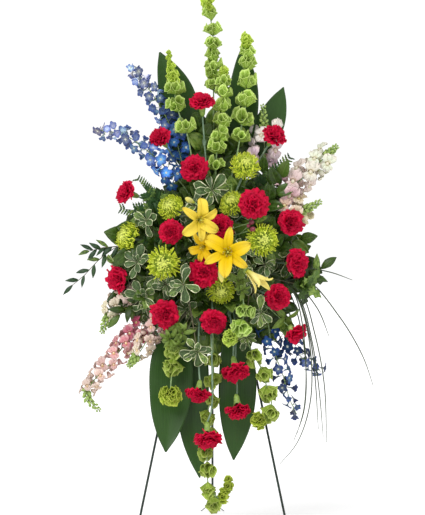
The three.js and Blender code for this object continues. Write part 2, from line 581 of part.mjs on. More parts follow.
const DELPHINIUM = {
  stalk: 2.1, flowers: 3, foot: -5, mouth: 1, roll: -Math.PI / 3,
  rim: [[24, -12], [24, 12], [10, 0], [24, 12]],
};
const SNAPDRAGON = {
  stalk: 2.3, flowers: 3, foot: -6, mouth: 2, roll: -Math.PI / 3,
  rim: [[26, -4], [22, 14], [11, 2]],
};
function spike({ path, tiers, from }, root, kind) {
  const curve = new THREE.CatmullRomCurve3(path.map(seen));
  const points = [root, curve.getPointAt(0)];
  const sizes = [0, 0];
  for (let k = 0; k < tiers; k++) {
    const along = k / (tiers - 1);
    points.push(curve.getPointAt(from + (1 - from) * along));
    sizes.push(1 - 0.6 * along * along);
  }
  hole(root, points[1], kind.stalk, kind.flowers);
  return whorledStem(points, sizes, kind);
}

// Aspidistra: a long stalk and a broad blade with a sunk midrib, in one piece, as [share of the path, share
// of the half width].
const ASPIDISTRA_SHAPE = [
  [0, 0.06], [0.14, 0.5], [0.32, 0.9], [0.52, 1], [0.72, 0.84], [0.88, 0.48], [1, 0],
];
const STALK = 2.4;
function aspidistraLeaf({ path, halfWidth }, root) {
  const curve = new THREE.CatmullRomCurve3(path.map(seen));
  const points = [root, ...ASPIDISTRA_SHAPE.map(([share]) => curve.getPointAt(share))];
  const halves = [STALK, ...ASPIDISTRA_SHAPE.map(([, half]) => half * halfWidth)];
  hole(root, points[1], (Math.max(STALK, 0.8 * halves[1]) + GAP) / Math.cos(Math.PI / 4));
  return lofted(bladeRings(points, halves, { face: FRONT, fold: 0.12, thick: 3, edge: 1.2 }));
}

// A whorl of leaves opens away from the foam: every other leaf is raised, round a small bud.
const WHORL = { bud: 4, low: 0.12, raised: 0.95 };
function rosette({ at, leaves, length }) {
  const centre = seen(at);
  const outward = centre.clone().sub(inFoam([0, FOAM.depth / 2, 0])).normalize().add(FRONT).normalize();
  const turn = turnTo(outward);
  const blades = Array.from({ length: leaves }, (_, k) => {
    const angle = (2 * Math.PI * k) / leaves;
    const lift = k % 2 ? WHORL.raised : WHORL.low;
    const direction = new Vector3(Math.cos(angle), Math.sin(angle), lift).normalize().applyQuaternion(turn);
    const size = k % 2 ? 0.85 : 1;
    return leaf(centre.clone().addScaledVector(direction, 0.45 * WHORL.bud), direction,
      { length: length * size, halfWidth: 0.27 * length, shape: SPOON, face: outward });
  });
  return { bud: solidOf(new THREE.OctahedronGeometry(WHORL.bud).translate(...centre.toArray())), blades };
}

// Pittosporum: a branch out of the foam, forked to whorls of leaves.
function pittosporumBranch({ fork, rosettes }, root) {
  const knot = seen(fork);
  const trunk = [stem(root, [knot], { thick: 2.6 })];
  const behind = knot.clone().addScaledVector(FRONT, -1);
  trunk.push(...rosettes.map(({ at }) => tube([behind, seen(at)], [2, 1.6], 4)));
  const whorls = rosettes.map(rosette);
  trunk.push(...whorls.map(({ bud }) => bud));
  return { trunk, leaves: whorls.flatMap(({ blades }) => blades) };
}

// A branch with leaves to its left and right by turns.
function leafyBranch({ start, path, leaves, length, width, from = 0.3, spread = 0.9, shape = OVAL }, root) {
  const curve = new THREE.CatmullRomCurve3(path.map(seen));
  const points = smooth(path, path.length);
  const twig = () => tube([seen(start), ...points], [2, ...points.map(() => 1.2)], 4);
  const trunk = [start ? twig() : stem(root, points, { thick: 2, thin: 1.1 })];
  const blades = Array.from({ length: leaves }, (_, k) => {
    const share = Math.min(0.99, from + ((1 - from) * (k + 0.5)) / leaves);
    const along = curve.getTangentAt(share);
    const side = along.clone().cross(FRONT).normalize().multiplyScalar(k % 2 ? 1 : -1);
    const out = k === leaves - 1 ? 0.12 : spread;
    const forward = k % 4 < 2 ? 0.05 : 0.6;
    const direction = side.multiplyScalar(out).add(along).addScaledVector(FRONT, forward).normalize();
    return leaf(curve.getPointAt(share), direction, { length, halfWidth: width * length, shape });
  });
  return { trunk, leaves: blades };
}

// A fern frond: one thin blade whose edges are cut into leaflets to near the rib.
const FROND = { leaflets: 8, halfWidth: 30, cut: 0.2, rib: 1.6 };
function fernFrond(path, root) {
  const curve = new THREE.CatmullRomCurve3(path.map(seen));
  const points = [root, seen(path[0])];
  const halves = [FROND.rib, FROND.rib];
  for (let k = 1; k <= 2 * FROND.leaflets; k++) {
    const share = k / (2 * FROND.leaflets);
    const taper = Math.min(1, 0.55 + 2 * share) * (1 - 0.85 * share);
    points.push(curve.getPointAt(0.15 + 0.85 * share));
    halves.push(share === 1 ? 0 : FROND.halfWidth * taper * (k % 2 ? 1 : FROND.cut));
  }
  hole(root, points[1], (FROND.rib + GAP) / Math.cos(Math.PI / 4));
  return lofted(bladeRings(points, halves, { face: FRONT, fold: 0.1, thick: 2 }));
}

function bearGrass({ bunch, r, blades }, root) {
  const knot = seen(bunch);
  const solids = [stem(root, [knot], { thick: 3.2, thin: 2.6 })];
  for (const path of blades) {
    const points = smooth([bunch, ...path], 5);
    solids.push(tube(points, [1.3, 1.2, 1.1, 1, 0.8, 0].map((share) => share * r), 3));
  }
  return solids;
}

// Easel: rods cut level at the floor, on level sections.
function uprightRod(foot, top, radius, sides = 8) {
  const level = (centre) => ring(sides, radius).map((p) => p.add(centre));
  return lofted([level(foot), level(top)]);
}
const bar = (from, to, radius, sides = 8) => tube([from, to], [radius, radius], sides);

function frontLeg(side) {
  const foot = new Vector3(side * EASEL.halfSpread, EASEL.frontFoot, 0);
  return uprightRod(foot, new Vector3(side * EASEL.topHalfSpread, EASEL.head, EASEL.height), EASEL.rodR);
}

const pinCentre = new Vector3(0, easelDepthAt(PIN.z), PIN.z);
function hingePin() {
  const reach = legXAt(PIN.z + PIN.r) - EASEL.rodR - GAP - 0.05;
  return bar(pinCentre.clone().setX(-reach), pinCentre.clone().setX(reach), PIN.r, 12);
}

// The rear leg turns on the pin by an eye at its top, and stands on a small forked foot.
function rearLeg() {
  const foot = new Vector3(0, EASEL.rearFoot, 0);
  const eyeShape = new THREE.Shape().absarc(0, 0, PIN.eyeOuter, 0, 2 * Math.PI);
  eyeShape.holes.push(new THREE.Path().absarc(0, 0, PIN.eyeInner, 0, 2 * Math.PI));
  const drawn = { depth: PIN.eyeWidth, bevelEnabled: false, curveSegments: 6 };
  const eye = solidOf(new THREE.ExtrudeGeometry(eyeShape, drawn)
    .translate(0, 0, -PIN.eyeWidth / 2).rotateY(Math.PI / 2).translate(...pinCentre.toArray()));
  const down = foot.clone().sub(pinCentre).normalize();
  const shank = uprightRod(foot, pinCentre.clone().addScaledVector(down, PIN.eyeInner + 3), EASEL.rodR);
  const joint = foot.clone().addScaledVector(down, -REAR_FORK.rise);
  const prong = (side) => uprightRod(foot.clone().setX(side * REAR_FORK.reach), joint, REAR_FORK.r, 6);
  const arms = [-1, 1].map(prong);
  return joined([eye, shank, ...arms]);
}

// The tray's frame: a floor behind the foam, a rim round its back edge, and two slotted lugs for the ties.
const trayOuter = { width: FOAM.width + 2 * (TRAY.wall + GAP), height: FOAM.height + 2 * (TRAY.wall + GAP) };
const lugTop = trayOuter.height / 2 + TRAY.lugHeight;
const trayBackFace = FOAM.depth / 2 + GAP + TRAY.wall;
const barDepth = trayBackFace + GAP + BAR.r;
const tieLow = lugTop - TRAY.lugHeight / 2 - TIE.thick / 2;
const tieHigh = lugTop + GAP + TIE.thick;
const upperBarUp = (tieLow + tieHigh) / 2;
const lowerBarUp = -trayOuter.height / 2 - GAP - HOOK.r;
function box(size, centre) {
  return solidOf(new THREE.BoxGeometry(...size).translate(...centre));
}
// A lug reaches a little way down into the rim; its slot is wider than the tie.
function lug(side) {
  const [x, depth, up] = [side * TRAY.lugX, trayBackFace - TRAY.wall / 2, lugTop - TRAY.lugHeight / 2];
  return box([TRAY.lugWidth, TRAY.wall, TRAY.lugHeight + 2], [x, depth, up - 1])
    .subtract(box([TRAY.slot + 2, 3 * TRAY.wall, TRAY.slot], [x, depth, up]));
}
function tray() {
  const rimDepth = TRAY.wall + GAP + TRAY.rim;
  const shell = box([trayOuter.width, rimDepth, trayOuter.height], [0, trayBackFace - rimDepth / 2, 0]);
  const floor = trayBackFace - TRAY.wall;
  const inside = box([FOAM.width + 2 * GAP, rimDepth, FOAM.height + 2 * GAP], [0, floor - rimDepth / 2, 0]);
  const lugs = [-1, 1].map(lug);
  return joined([shell.subtract(inside), ...lugs]).transform(foamFrame.elements);
}

// A tie: a flat band through a lug's slot and round the upper cross bar.
function tie(side) {
  const front = trayBackFace - TRAY.wall - GAP - TIE.thick;
  const back = barDepth + BAR.r + GAP + TIE.thick;
  const centre = [side * TRAY.lugX, (front + back) / 2, (tieLow + tieHigh) / 2];
  const outer = box([TIE.width, back - front, tieHigh - tieLow], centre);
  const inner = box([TIE.width + 2, back - front - 2 * TIE.thick, tieHigh - tieLow - 2 * TIE.thick], centre);
  return outer.subtract(inner).transform(foamFrame.elements);
}

// A cross bar on the front of the legs; the lower one carries two hooks under the tray's rim.
function crossBar(up, reach, hooked) {
  const on = (x, depth, rise = 0) => new Vector3(x, depth, up + rise).applyMatrix4(foamFrame);
  const solids = [bar(on(-reach, barDepth), on(reach, barDepth), BAR.r)];
  if (hooked) {
    const front = trayBackFace - TRAY.wall - GAP - TRAY.rim - GAP - HOOK.r;
    for (const side of [-1, 1]) {
      const x = side * HOOK.x;
      solids.push(bar(on(x, barDepth), on(x, front - HOOK.r), HOOK.r, 6));
      solids.push(bar(on(x, front), on(x, front, HOOK.r + TRAY.wall), HOOK.r * 0.98, 6));
    }
  }
  return joined(solids);
}

function foamBlock() {
  const block = box([FOAM.width, FOAM.depth, FOAM.height], [0, 0, 0]).transform(foamFrame.elements);
  return block.subtract(joined(holes));
}

// The nodes so far, in order; a later one gives way to an earlier one.
const nodes = [];
const apart = (a, b) => [0, 1, 2].some((i) => a.min[i] > b.max[i] || b.min[i] > a.max[i]);
const crossed = (solid) => nodes.filter((node) => !apart(node.solid.boundingBox(), solid.boundingBox())
  && node.solid.intersect(solid).volume() > 0.001);

// Cuts a solid clear of the earlier nodes that it crosses, and keeps its largest piece.
function clearOf(solid) {
  const steps = [[0, 0, 0], [GAP, 0, 0], [-GAP, 0, 0], [0, GAP, 0], [0, -GAP, 0], [0, 0, GAP], [0, 0, -GAP]];
  let cut = solid;
  for (const node of crossed(solid)) {
    for (const step of steps) {
      cut = cut.subtract(node.solid.translate(step));
    }
  }
  return cut.decompose().sort((a, b) => b.volume() - a.volume())[0];
}
function add(name, colour, solids) {
  const whole = Array.isArray(solids) ? joined(solids) : solids;
  nodes.push({ name, colour, solid: clearOf(whole).asOriginal().simplify(TOLERANCE) });
}
// Branches from one root; a leaf is left off where it would cross an earlier node.
function addBranches(name, colour, rootName, list, make) {
  const root = inFoam(ROOT[rootName]);
  const branches = list.map((branch) => make(branch, root));
  const leaves = branches.flatMap((branch) => branch.leaves).filter((blade) => crossed(blade).length === 0);
  const trunks = branches.flatMap((branch) => branch.trunk);
  add(name, colour, [...(list.length > 1 ? [rootBall(root)] : []), ...trunks, ...leaves]);
}
// Stems from one root.
function addStems(name, colour, rootName, list, make) {
  const root = inFoam(ROOT[rootName]);
  add(name, colour, [...(list.length > 1 ? [rootBall(root)] : []), ...list.map((one) => make(one, root))]);
}
const number = (i) => String(i + 1).padStart(2, "0");
const delphinium = (one, root) => spike(one, root, DELPHINIUM);
const snapdragon = (one, root) => spike(one, root, SNAPDRAGON);

add("easel_leg_left", "steel", frontLeg(-1));
add("easel_leg_right", "steel", frontLeg(1));
add("easel_hinge_pin", "steel", hingePin());
add("easel_rear_leg", "steel", rearLeg());
add("easel_upper_bar", "steel", crossBar(upperBarUp, BAR.upperReach, false));
add("easel_lower_bar", "steel", crossBar(lowerBarUp, BAR.lowerReach, true));
add("foam_tray", "plastic", tray());
add("tie_left", "tie", tie(-1));
add("tie_right", "tie", tie(1));
add("bloom_stems", "stem", bloomStems());
add("lily_stems", "stem", lilyStems());
CARNATIONS.forEach((head, i) => add(`carnation_${number(i)}`, "carnation", carnationHead(head, i)));
MUMS.forEach((head, i) => add(`spider_mum_${number(i)}`, "mum", mumHead(head, i)));
LILIES.forEach((bloom) => add(bloom.name, "lily", lilyBloom(bloom)));
addStems("bells_upper", "bells", "bellsTop", BELLS_UPPER, bellStem);
add("bells_face", "bells", bellStem(BELLS_FACE, inFoam(ROOT.bellsFace)));
addStems("bells_lower", "bells", "bellsLow", [...BELLS_LOWER, BELLS_CURL],
  (points, root) => bellStem(points, points === BELLS_CURL ? null : root));
addStems("delphinium_upper", "delphinium", "delphiniumLeft", DELPHINIUM_UPPER, delphinium);
addStems("delphinium_lower", "delphinium", "delphiniumRight", DELPHINIUM_LOWER, delphinium);
addStems("snapdragons_right", "snapdragon", "snapdragonRight", SNAPDRAGONS_RIGHT, snapdragon);
addStems("snapdragons_left", "snapdragon", "snapdragonLeft", SNAPDRAGONS_LEFT, snapdragon);
addStems("aspidistra_upper", "aspidistra", "leavesTop", ASPIDISTRA_UPPER, aspidistraLeaf);
addStems("aspidistra_lower", "aspidistra", "leavesLow", ASPIDISTRA_LOWER, aspidistraLeaf);
addBranches("pittosporum_left", "pittosporum", "pittosporumLeft", PITTOSPORUM_LEFT, pittosporumBranch);
addBranches("pittosporum_right", "pittosporum", "pittosporumRight", PITTOSPORUM_RIGHT, pittosporumBranch);
addBranches("leaves_left", "foliage", "leavesLeft", LEAVES_LEFT, leafyBranch);
addBranches("leaves_right", "foliage", "leavesRight", LEAVES_RIGHT, leafyBranch);
addStems("ferns_left", "fern", "fernLeft", FERNS_LEFT, fernFrond);
addStems("fern_right", "fern", "fernRight", [FERN_RIGHT], fernFrond);
addBranches("italian_ruscus", "foliage", "ruscus", RUSCUS, leafyBranch);
add("bear_grass", "grass", bearGrass(GRASS, inFoam(ROOT.grass)));
add("foam_block", "foam", foamBlock());

// The part's origin is on the floor, under the middle of its outline.
const spray = new THREE.Group();
nodes.forEach(({ name, colour, solid }) => spray.add(meshOf(name, solid, colour)));
const outline = new THREE.Box3().setFromObject(spray, true);
const middle = outline.getCenter(new Vector3());
spray.position.set(-middle.x, -middle.y, -outline.min.z);
const part = new THREE.Group();
part.add(spray);

export default part;
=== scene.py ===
"""The standing funeral spray: cut flowers and foliage in floral foam, on a folding wire easel.

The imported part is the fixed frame. Flowers and leaves are laid out in millimetres on the easel's own
axes, with +Z up and the face towards -Y, and written to meshes in metres in the frame's axes.
"""

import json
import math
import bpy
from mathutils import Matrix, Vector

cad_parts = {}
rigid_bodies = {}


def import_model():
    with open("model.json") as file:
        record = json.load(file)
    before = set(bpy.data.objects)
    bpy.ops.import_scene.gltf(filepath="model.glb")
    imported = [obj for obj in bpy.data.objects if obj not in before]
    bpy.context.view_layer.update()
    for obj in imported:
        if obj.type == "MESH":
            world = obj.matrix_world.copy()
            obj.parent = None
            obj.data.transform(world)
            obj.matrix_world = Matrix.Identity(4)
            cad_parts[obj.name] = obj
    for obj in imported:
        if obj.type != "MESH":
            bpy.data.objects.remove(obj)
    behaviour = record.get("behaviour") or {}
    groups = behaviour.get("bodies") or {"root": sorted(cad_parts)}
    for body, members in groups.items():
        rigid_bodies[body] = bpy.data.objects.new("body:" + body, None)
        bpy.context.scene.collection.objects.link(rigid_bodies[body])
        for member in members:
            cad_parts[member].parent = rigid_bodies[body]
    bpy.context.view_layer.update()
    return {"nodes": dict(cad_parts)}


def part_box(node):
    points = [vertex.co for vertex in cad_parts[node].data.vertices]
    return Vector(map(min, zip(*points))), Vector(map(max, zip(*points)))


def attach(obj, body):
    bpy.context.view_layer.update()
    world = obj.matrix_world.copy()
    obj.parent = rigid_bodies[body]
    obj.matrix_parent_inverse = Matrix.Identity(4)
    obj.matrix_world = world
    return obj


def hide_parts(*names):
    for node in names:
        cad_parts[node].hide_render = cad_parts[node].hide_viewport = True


bl_info = {
    "name": "Standing funeral spray",
    "version": (1, 0, 0),
    "blender": (4, 5, 0),
    "location": "View3D > Sidebar > Funeral spray",
    "description": "Dresses the easel, stems, flowers and foliage of a standing spray",
    "category": "Object",
}

import bpy
import numpy as np
from bpy.props import FloatProperty, FloatVectorProperty, IntProperty, PointerProperty
from mathutils import Matrix, Quaternion, Vector

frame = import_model()

MM = 0.001
GOLDEN = math.pi * (3 - math.sqrt(5))
FRONT = np.array([0.0, -1.0, 0.0])
UP = np.array([0.0, 0.0, 1.0])

# The easel's plane and the foam, as in the part's source.
LEG_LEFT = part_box("easel_leg_left")
LEG_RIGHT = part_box("easel_leg_right")
ROD_RADIUS = 3.25
FRONT_FOOT = -200.0
LEAN = math.atan(260 / 965)
SHIFT = np.array([
    (LEG_LEFT[0].x + LEG_RIGHT[1].x) / 2,
    LEG_LEFT[0].y - (FRONT_FOOT - ROD_RADIUS) * MM,
    0.0,
])
FOAM = {"depth": 80, "middle": 748, "off_plane": 12.15}
EYE = {"distance": 6000.0, "height": 755.0, "across": 5.0}
IMAGE = {"height": 515, "mm_per_pixel": 2.8}
SENSOR = 36.0

# Heads: place as [across, out towards the viewer, up], the way each faces, and its radius.
CARNATIONS = (
    ((-25, 98, 1190), (-0.05, -0.45, 0.9), 39),
    ((-143, 88, 1089), (-0.5, -0.6, 0.6), 35),
    ((-45, 128, 1005), (-0.05, -0.95, 0.25), 39),
    ((178, 82, 1095), (0.4, -0.6, 0.6), 37),
    ((-235, 75, 938), (-0.8, -0.5, 0.3), 37),
    ((120, 230, 904), (0.1, -1, 0.15), 43),
    ((224, 138, 854), (0.5, -0.85, 0.1), 41),
    ((-112, 215, 826), (-0.15, -1, 0), 37),
    ((28, 200, 842), (0.1, -1, 0.15), 38),
    ((243, 138, 739), (0.7, -0.7, 0), 41),
    ((-20, 228, 714), (0, -1, 0.05), 40),
    ((-260, 85, 694), (-0.75, -0.65, -0.1), 40),
    ((190, 188, 644), (0.4, -0.9, -0.05), 40),
    ((-129, 188, 596), (-0.25, -0.9, -0.25), 42),
    ((8, 222, 574), (0.05, -0.85, -0.45), 38),
    ((238, 140, 543), (0.45, -0.5, -0.7), 33),
    ((70, 190, 437), (0.15, -0.45, -0.85), 41),
    ((-36, 212, 374), (-0.15, -0.35, -0.9), 36),
    ((76, 188, 328), (0.1, -0.35, -0.93), 41),
    ((-8, 222, 249), (0.05, -0.35, -0.93), 42),
)
# A chrysanthemum has the droop of its lowest rays as well.
MUMS = (
    ((98, 128, 1019), (0.1, -0.75, 0.65), 43, 0.55),
    ((-115, 178, 899), (-0.4, -0.8, 0.4), 37, 0.1),
    ((58, 150, 912), (-0.25, -0.7, 0.6), 37, 0.35),
    ((-238, 97, 815), (-0.75, -0.55, 0.3), 42, 0),
    ((148, 215, 804), (0.2, -1, 0), 43, 0.35),
    ((-134, 235, 739), (-0.1, -1, 0), 46, 0.35),
    ((30, 192, 661), (0.1, -0.9, -0.3), 38, 0.2),
)
# A lily has its name before these, then its roll, whether it is open, its green and how pale it is.
LILIES = (
    ("lily_upper", (-28, 288, 860), (0.2, -0.97, -0.05), 60, -0.33, True, 1.0, 0.16),
    ("lily_lower", (48, 312, 770), (0, -1, 0.05), 70, 0.5, True, 0.94, 0.0),
    ("lily_side", (-26, 262, 782), (-0.5, -0.8, -0.25), 46, 0.5, True, 0.88, 0.0),
    ("lily_half_open", (114, 265, 702), (0.66, -0.35, -0.66), 58, 0.3, False, 1.02, 0.86),
)
LILY_BUDS = (
    ((28, 262, 708), (0.15, -0.3, -0.95), 48),
    ((-58, 232, 915), (-0.7, -0.5, 0.35), 34),
)

# Bells of Ireland: the node, bells to a whorl beyond the usual, tone and size; then the points of each stem
# with the size of the whorl there, 0 where bare.
BELLS = (("bells_upper", 0, (0.96, 0.98, 0.86), 0.97, (
    ((5, 22, 1000, 0), (8, 20, 1120, 0), (8, 19, 1224, 0.95), (8, 18, 1252, 0.95), (8, 17, 1280, 0.95),
     (8, 16, 1308, 0.95), (6, 15, 1341, 0.95), (6, 15, 1380, 0.95), (0, 15, 1422, 0.95),
     (-6, 15, 1460, 0.8), (-8, 14, 1490, 0.5)),
    ((14, 62, 950, 0), (14, 66, 1005, 0.9), (17, 68, 1048, 0.95), (22, 68, 1084, 1.05),
     (31, 68, 1120, 1.1), (31, 66, 1160, 1.1), (36, 66, 1198, 1.05), (36, 66, 1232, 0.95),
     (36, 65, 1260, 0.7), (37, 64, 1280, 0.45)),
    ((66, 54, 1010, 0), (81, 56, 1084, 1.1), (87, 56, 1130, 1.15), (98, 55, 1182, 1.15),
     (101, 52, 1232, 1.15), (101, 50, 1280, 1.1), (101, 48, 1319, 1), (101, 45, 1352, 0.8),
     (98, 42, 1376, 0.5)),
    ((-46, 60, 1000, 0), (-67, 64, 1103, 1.1), (-92, 62, 1168, 1.15), (-101, 60, 1216, 1.1),
     (-106, 58, 1252, 0.75), (-110, 56, 1280, 0.55), (-115, 54, 1306, 0.45), (-118, 52, 1332, 0.35)),
)), ("bells_face", 3, (0.88, 0.92, 0.84), 0.92, (
    ((80, 185, 700, 0), (92, 215, 622, 1.15), (88, 222, 576, 1.2), (66, 216, 545, 0), (53, 230, 528, 1.25)),
# The lower stems' darker tone is painted shade on bells that sit low under the spray.
)), ("bells_lower", 2, (0.7, 0.68, 0.48), 0.92, (
    ((-62, 125, 560, 0), (-95, 170, 515, 1.2), (-104, 180, 468, 1.2), (-112, 190, 395, 0),
     (-112, 206, 372, 1.6)),
    ((88, 120, 560, 0), (115, 160, 490, 1.05), (143, 165, 442, 1.05), (157, 168, 392, 1.1),
     (171, 172, 339, 1.15), (152, 176, 306, 0), (134, 190, 298, 1.3)),
    ((6, 112, 560, 0), (6, 145, 482, 1), (8, 150, 426, 1), (6, 152, 372, 1), (-8, 150, 322, 1),
     (4, 150, 274, 0.95), (-10, 162, 226, 1), (-10, 194, 176, 1.1), (-8, 198, 124, 1.15),
     (3, 200, 76, 1.2)),
    ((-4, 199, 100, 0), (22, 202, 84, 0.7), (44, 200, 104, 0.65), (49, 198, 134, 0.5)),
)))

# Delphinium: the node, flowers to a tier, their size and tone; then each spike's path, its tiers of flowers
# and the share of the path where they begin.
DELPHINIUM = (("delphinium_upper", 4.6, 1, (1, 1, 1), (
    (((-70, 36, 975), (-96, 28, 1080), (-128, 28, 1154), (-171, 34, 1224), (-222, 36, 1290)), 9, 0.14),
    (((-66, 72, 940), (-132, 98, 1013), (-180, 98, 1056), (-241, 84, 1098), (-312, 68, 1112)), 9, 0.1),
)), ("delphinium_lower", 3.7, 0.9, (0.30, 0.34, 0.38), (
    (((150, 118, 600), (171, 122, 510), (202, 122, 426), (222, 120, 356), (240, 118, 318)), 7, 0.12),
    (((172, 84, 585), (216, 86, 524), (250, 86, 480), (308, 84, 436)), 5, 0.26),
)))
# Snapdragons: the node, flowers to a tier, how far out they sit, sizes of the highest and the lowest; then
# each spike as above, with its colours from the lowest flowers to the highest, its palates' and its share in
# bud.
SNAPDRAGONS = (("snapdragons_right", 2.2, 19, 1.3, 1.44, (
    (((105, 22, 960), (146, 20, 1030), (150, 22, 1110), (146, 24, 1182)), 7, 0.28,
     ("#ceb0c2", "#d8dacc", "#d2cab4"), 0.42),
    (((150, 62, 925), (215, 70, 948), (275, 74, 992), (320, 74, 1036), (354, 72, 1068)), 10, 0.12,
     ("#cc9aaa", "#d6dac6", "#d4d0b4"), 0.17),
    (((160, 60, 850), (225, 82, 885), (269, 84, 892), (308, 84, 912)), 5, 0.3,
     ("#ccaaa0", "#d4d0a2", "#dcce86"), 0.46),
)), ("snapdragons_left", 3.1, 13, 0.76, 1.12, (
    (((-150, 60, 660), (-235, 66, 646), (-275, 68, 610), (-296, 68, 572), (-304, 68, 544)), 5, 0.3,
     ("#b49a94", "#c4c0a4", "#cfc6a6"), 0.36),
    (((-140, 80, 590), (-227, 88, 526), (-280, 88, 460), (-335, 86, 400), (-346, 85, 364),
      (-311, 84, 326)), 11, 0.16, ("#b04a66", "#d2bcb0", "#d2b07c"), 0.2),
    (((-110, 110, 590), (-165, 136, 545), (-192, 136, 500), (-230, 134, 450)), 6, 0.2,
     ("#c09494", "#ccc0aa", "#d6b680"), 0.24),
)))

ASPIDISTRA = {"aspidistra_upper": (
    (((-40, 0, 960), (-80, -10, 1110), (-95, -12, 1210), (-143, -18, 1330)), 56),
    (((35, 2, 960), (78, -2, 1120), (92, -4, 1230), (88, -10, 1345)), 47),
    (((70, -20, 960), (120, -22, 1050), (165, -24, 1130), (204, -26, 1232)), 45),
), "aspidistra_lower": (
    (((-60, 92, 600), (-104, 120, 500), (-112, 138, 370), (-126, 166, 210)), 60),
    (((-22, 78, 560), (-48, 108, 400), (-48, 114, 290), (-31, 124, 138)), 44),
    (((45, 86, 590), (72, 108, 470), (74, 114, 350), (64, 124, 188)), 52),
)}

# Stem roots in the foam, as [across, forward of the foam's back, up from its middle].
ROOT = {
    "blooms": (0, 50, 0), "lilies": (-4, 67, 8), "bells_upper": (0, 33, 68), "bells_lower": (0, 36, -72),
    "bells_face": (30, 66, -34), "aspidistra_upper": (0, 14, 76), "aspidistra_lower": (0, 13, -74),
    "delphinium_upper": (-34, 26, 58), "delphinium_lower": (36, 30, -62),
    "snapdragons_right": (36, 26, 56), "snapdragons_left": (-36, 28, -58),
    "pittosporum_left": (-34, 56, -6), "pittosporum_right": (36, 58, 4), "leaves_left": (-38, 18, -4),
    "leaves_right": (40, 18, -8), "ferns_left": (-34, 52, 42), "fern_right": (34, 52, 36),
    "ruscus": (-46, 38, -6), "grass": (44, 44, -36),
}

# Pittosporum branches: the fork, then each whorl's place, leaves and leaf length.
PITTOSPORUM = {"pittosporum_left": (
    ((-120, 110, 760), (((-180, 135, 858), 8, 46), ((-205, 132, 742), 8, 46), ((-190, 118, 645), 8, 48))),
    ((-62, 190, 640), (((-78, 250, 680), 8, 50), ((-38, 222, 492), 8, 46))),
), "pittosporum_right": (
    ((110, 140, 690), (((94, 188, 776), 6, 42), ((140, 192, 600), 8, 48), ((98, 150, 530), 6, 38))),
    ((44, 60, 884), (((4, 140, 944), 8, 54),)),
)}
# Branches of leaves: path, leaves, leaf length, and slim or oval.
LEAF_BRANCHES = {"leaves_left": (
    (((-120, 70, 780), (-180, 92, 800), (-225, 100, 775)), 7, 68, "oval"),
    (((-140, 76, 650), (-215, 92, 625), (-262, 90, 588)), 7, 58, "slim"),
), "leaves_right": (
    (((120, 70, 860), (180, 96, 930), (200, 98, 990)), 6, 66, "oval"),
    (((130, 70, 790), (200, 108, 800), (262, 108, 806)), 5, 58, "oval"),
    (((130, 70, 700), (200, 84, 690), (268, 84, 690), (316, 82, 730)), 8, 56, "slim"),
    (((126, 58, 664), (188, 90, 612), (205, 102, 560)), 5, 58, "oval"),
)}
FERNS = {"ferns_left": (
    ((-96, 66, 880), (-165, 84, 925), (-205, 92, 975)),
    ((-100, 74, 862), (-190, 84, 884), (-252, 84, 892)),
), "fern_right": (((96, 62, 900), (166, 56, 975), (222, 60, 1036)),)}
RUSCUS = (
    (((-150, 62, 760), (-240, 74, 792), (-311, 72, 750), (-353, 70, 706), (-394, 66, 672)), 13, 0.12),
    (((-262, 74, 786), (-300, 78, 782), (-345, 78, 772)), 5, 0.1),
)
GRASS_BUNCH = (205, 100, 690)
GRASS_BLADES = (
    ((262, 108, 722), (330, 112, 715), (402, 114, 690)),
    ((270, 110, 690), (360, 116, 590), (425, 118, 480), (459, 120, 384)),
    ((250, 104, 670), (300, 104, 610), (333, 104, 530)),
    ((256, 124, 650), (292, 138, 540), (318, 142, 400), (325, 144, 224)),
    ((250, 118, 640), (284, 130, 520), (304, 132, 380), (316, 134, 240)),
    ((244, 140, 640), (276, 156, 520), (280, 156, 360), (244, 154, 240), (184, 150, 166)),
    ((240, 148, 640), (264, 164, 500), (262, 164, 340), (238, 162, 250)),
    ((246, 98, 640), (280, 98, 520), (292, 100, 420), (302, 100, 262)),
    ((236, 94, 620), (264, 95, 480), (262, 96, 330), (228, 96, 230)),
)


# Places and paths


def unit(vectors):
    vectors = np.asarray(vectors, float)
    return vectors / np.maximum(np.linalg.norm(vectors, axis=-1, keepdims=True), 1e-9)


def seen(points):
    """Places of the face at their real depth, from where the eye sees them on the easel's plane."""
    across, out, up = np.moveaxis(np.asarray(points, float), -1, 0)
    pull = 1 - out / EYE["distance"]
    up = EYE["height"] + (up - EYE["height"]) * pull
    return np.stack([(across - EYE["across"]) * pull, -out, up], -1)


def easel_depth(height):
    return FRONT_FOOT + math.tan(LEAN) * height


def in_foam(place):
    """A point in the foam, from its place across, forward of the back face and up from the middle."""
    across, forward, up = place
    depth = FOAM["depth"] / 2 - forward
    cos, sin = math.cos(LEAN), math.sin(LEAN)
    middle = FOAM["off_plane"] + FOAM["depth"] / 2
    out = easel_depth(FOAM["middle"]) - cos * middle + depth * cos + up * sin
    return np.array([across, out, FOAM["middle"] + sin * middle - depth * sin + up * cos])


def between(at, ticks, rows):
    """Rows at places between the ticks of some given rows."""
    return np.stack([np.interp(at, ticks, column) for column in rows.T], 1)


def smooth_path(points, count):
    """Even steps along a smooth curve through the points."""
    points = np.asarray(points, float)
    steps = np.linalg.norm(np.diff(points, axis=0), axis=1)
    knots = np.r_[0, np.cumsum(np.sqrt(steps))]
    slopes = np.gradient(points, knots, axis=0)
    fine = np.linspace(0, knots[-1], 40 * len(points))
    k = np.clip(np.searchsorted(knots, fine, side="right") - 1, 0, len(points) - 2)
    span = (knots[k + 1] - knots[k])[:, None]
    s = (fine[:, None] - knots[k][:, None]) / span
    curve = (
        (2 * s**3 - 3 * s**2 + 1) * points[k]
        + (s**3 - 2 * s**2 + s) * span * slopes[k]
        + (3 * s**2 - 2 * s**3) * points[k + 1]
        + (s**3 - s**2) * span * slopes[k + 1]
    )
    run = np.r_[0, np.cumsum(np.linalg.norm(np.diff(curve, axis=0), axis=1))]
    even = np.linspace(0, run[-1], count)
    return between(even, run, curve)


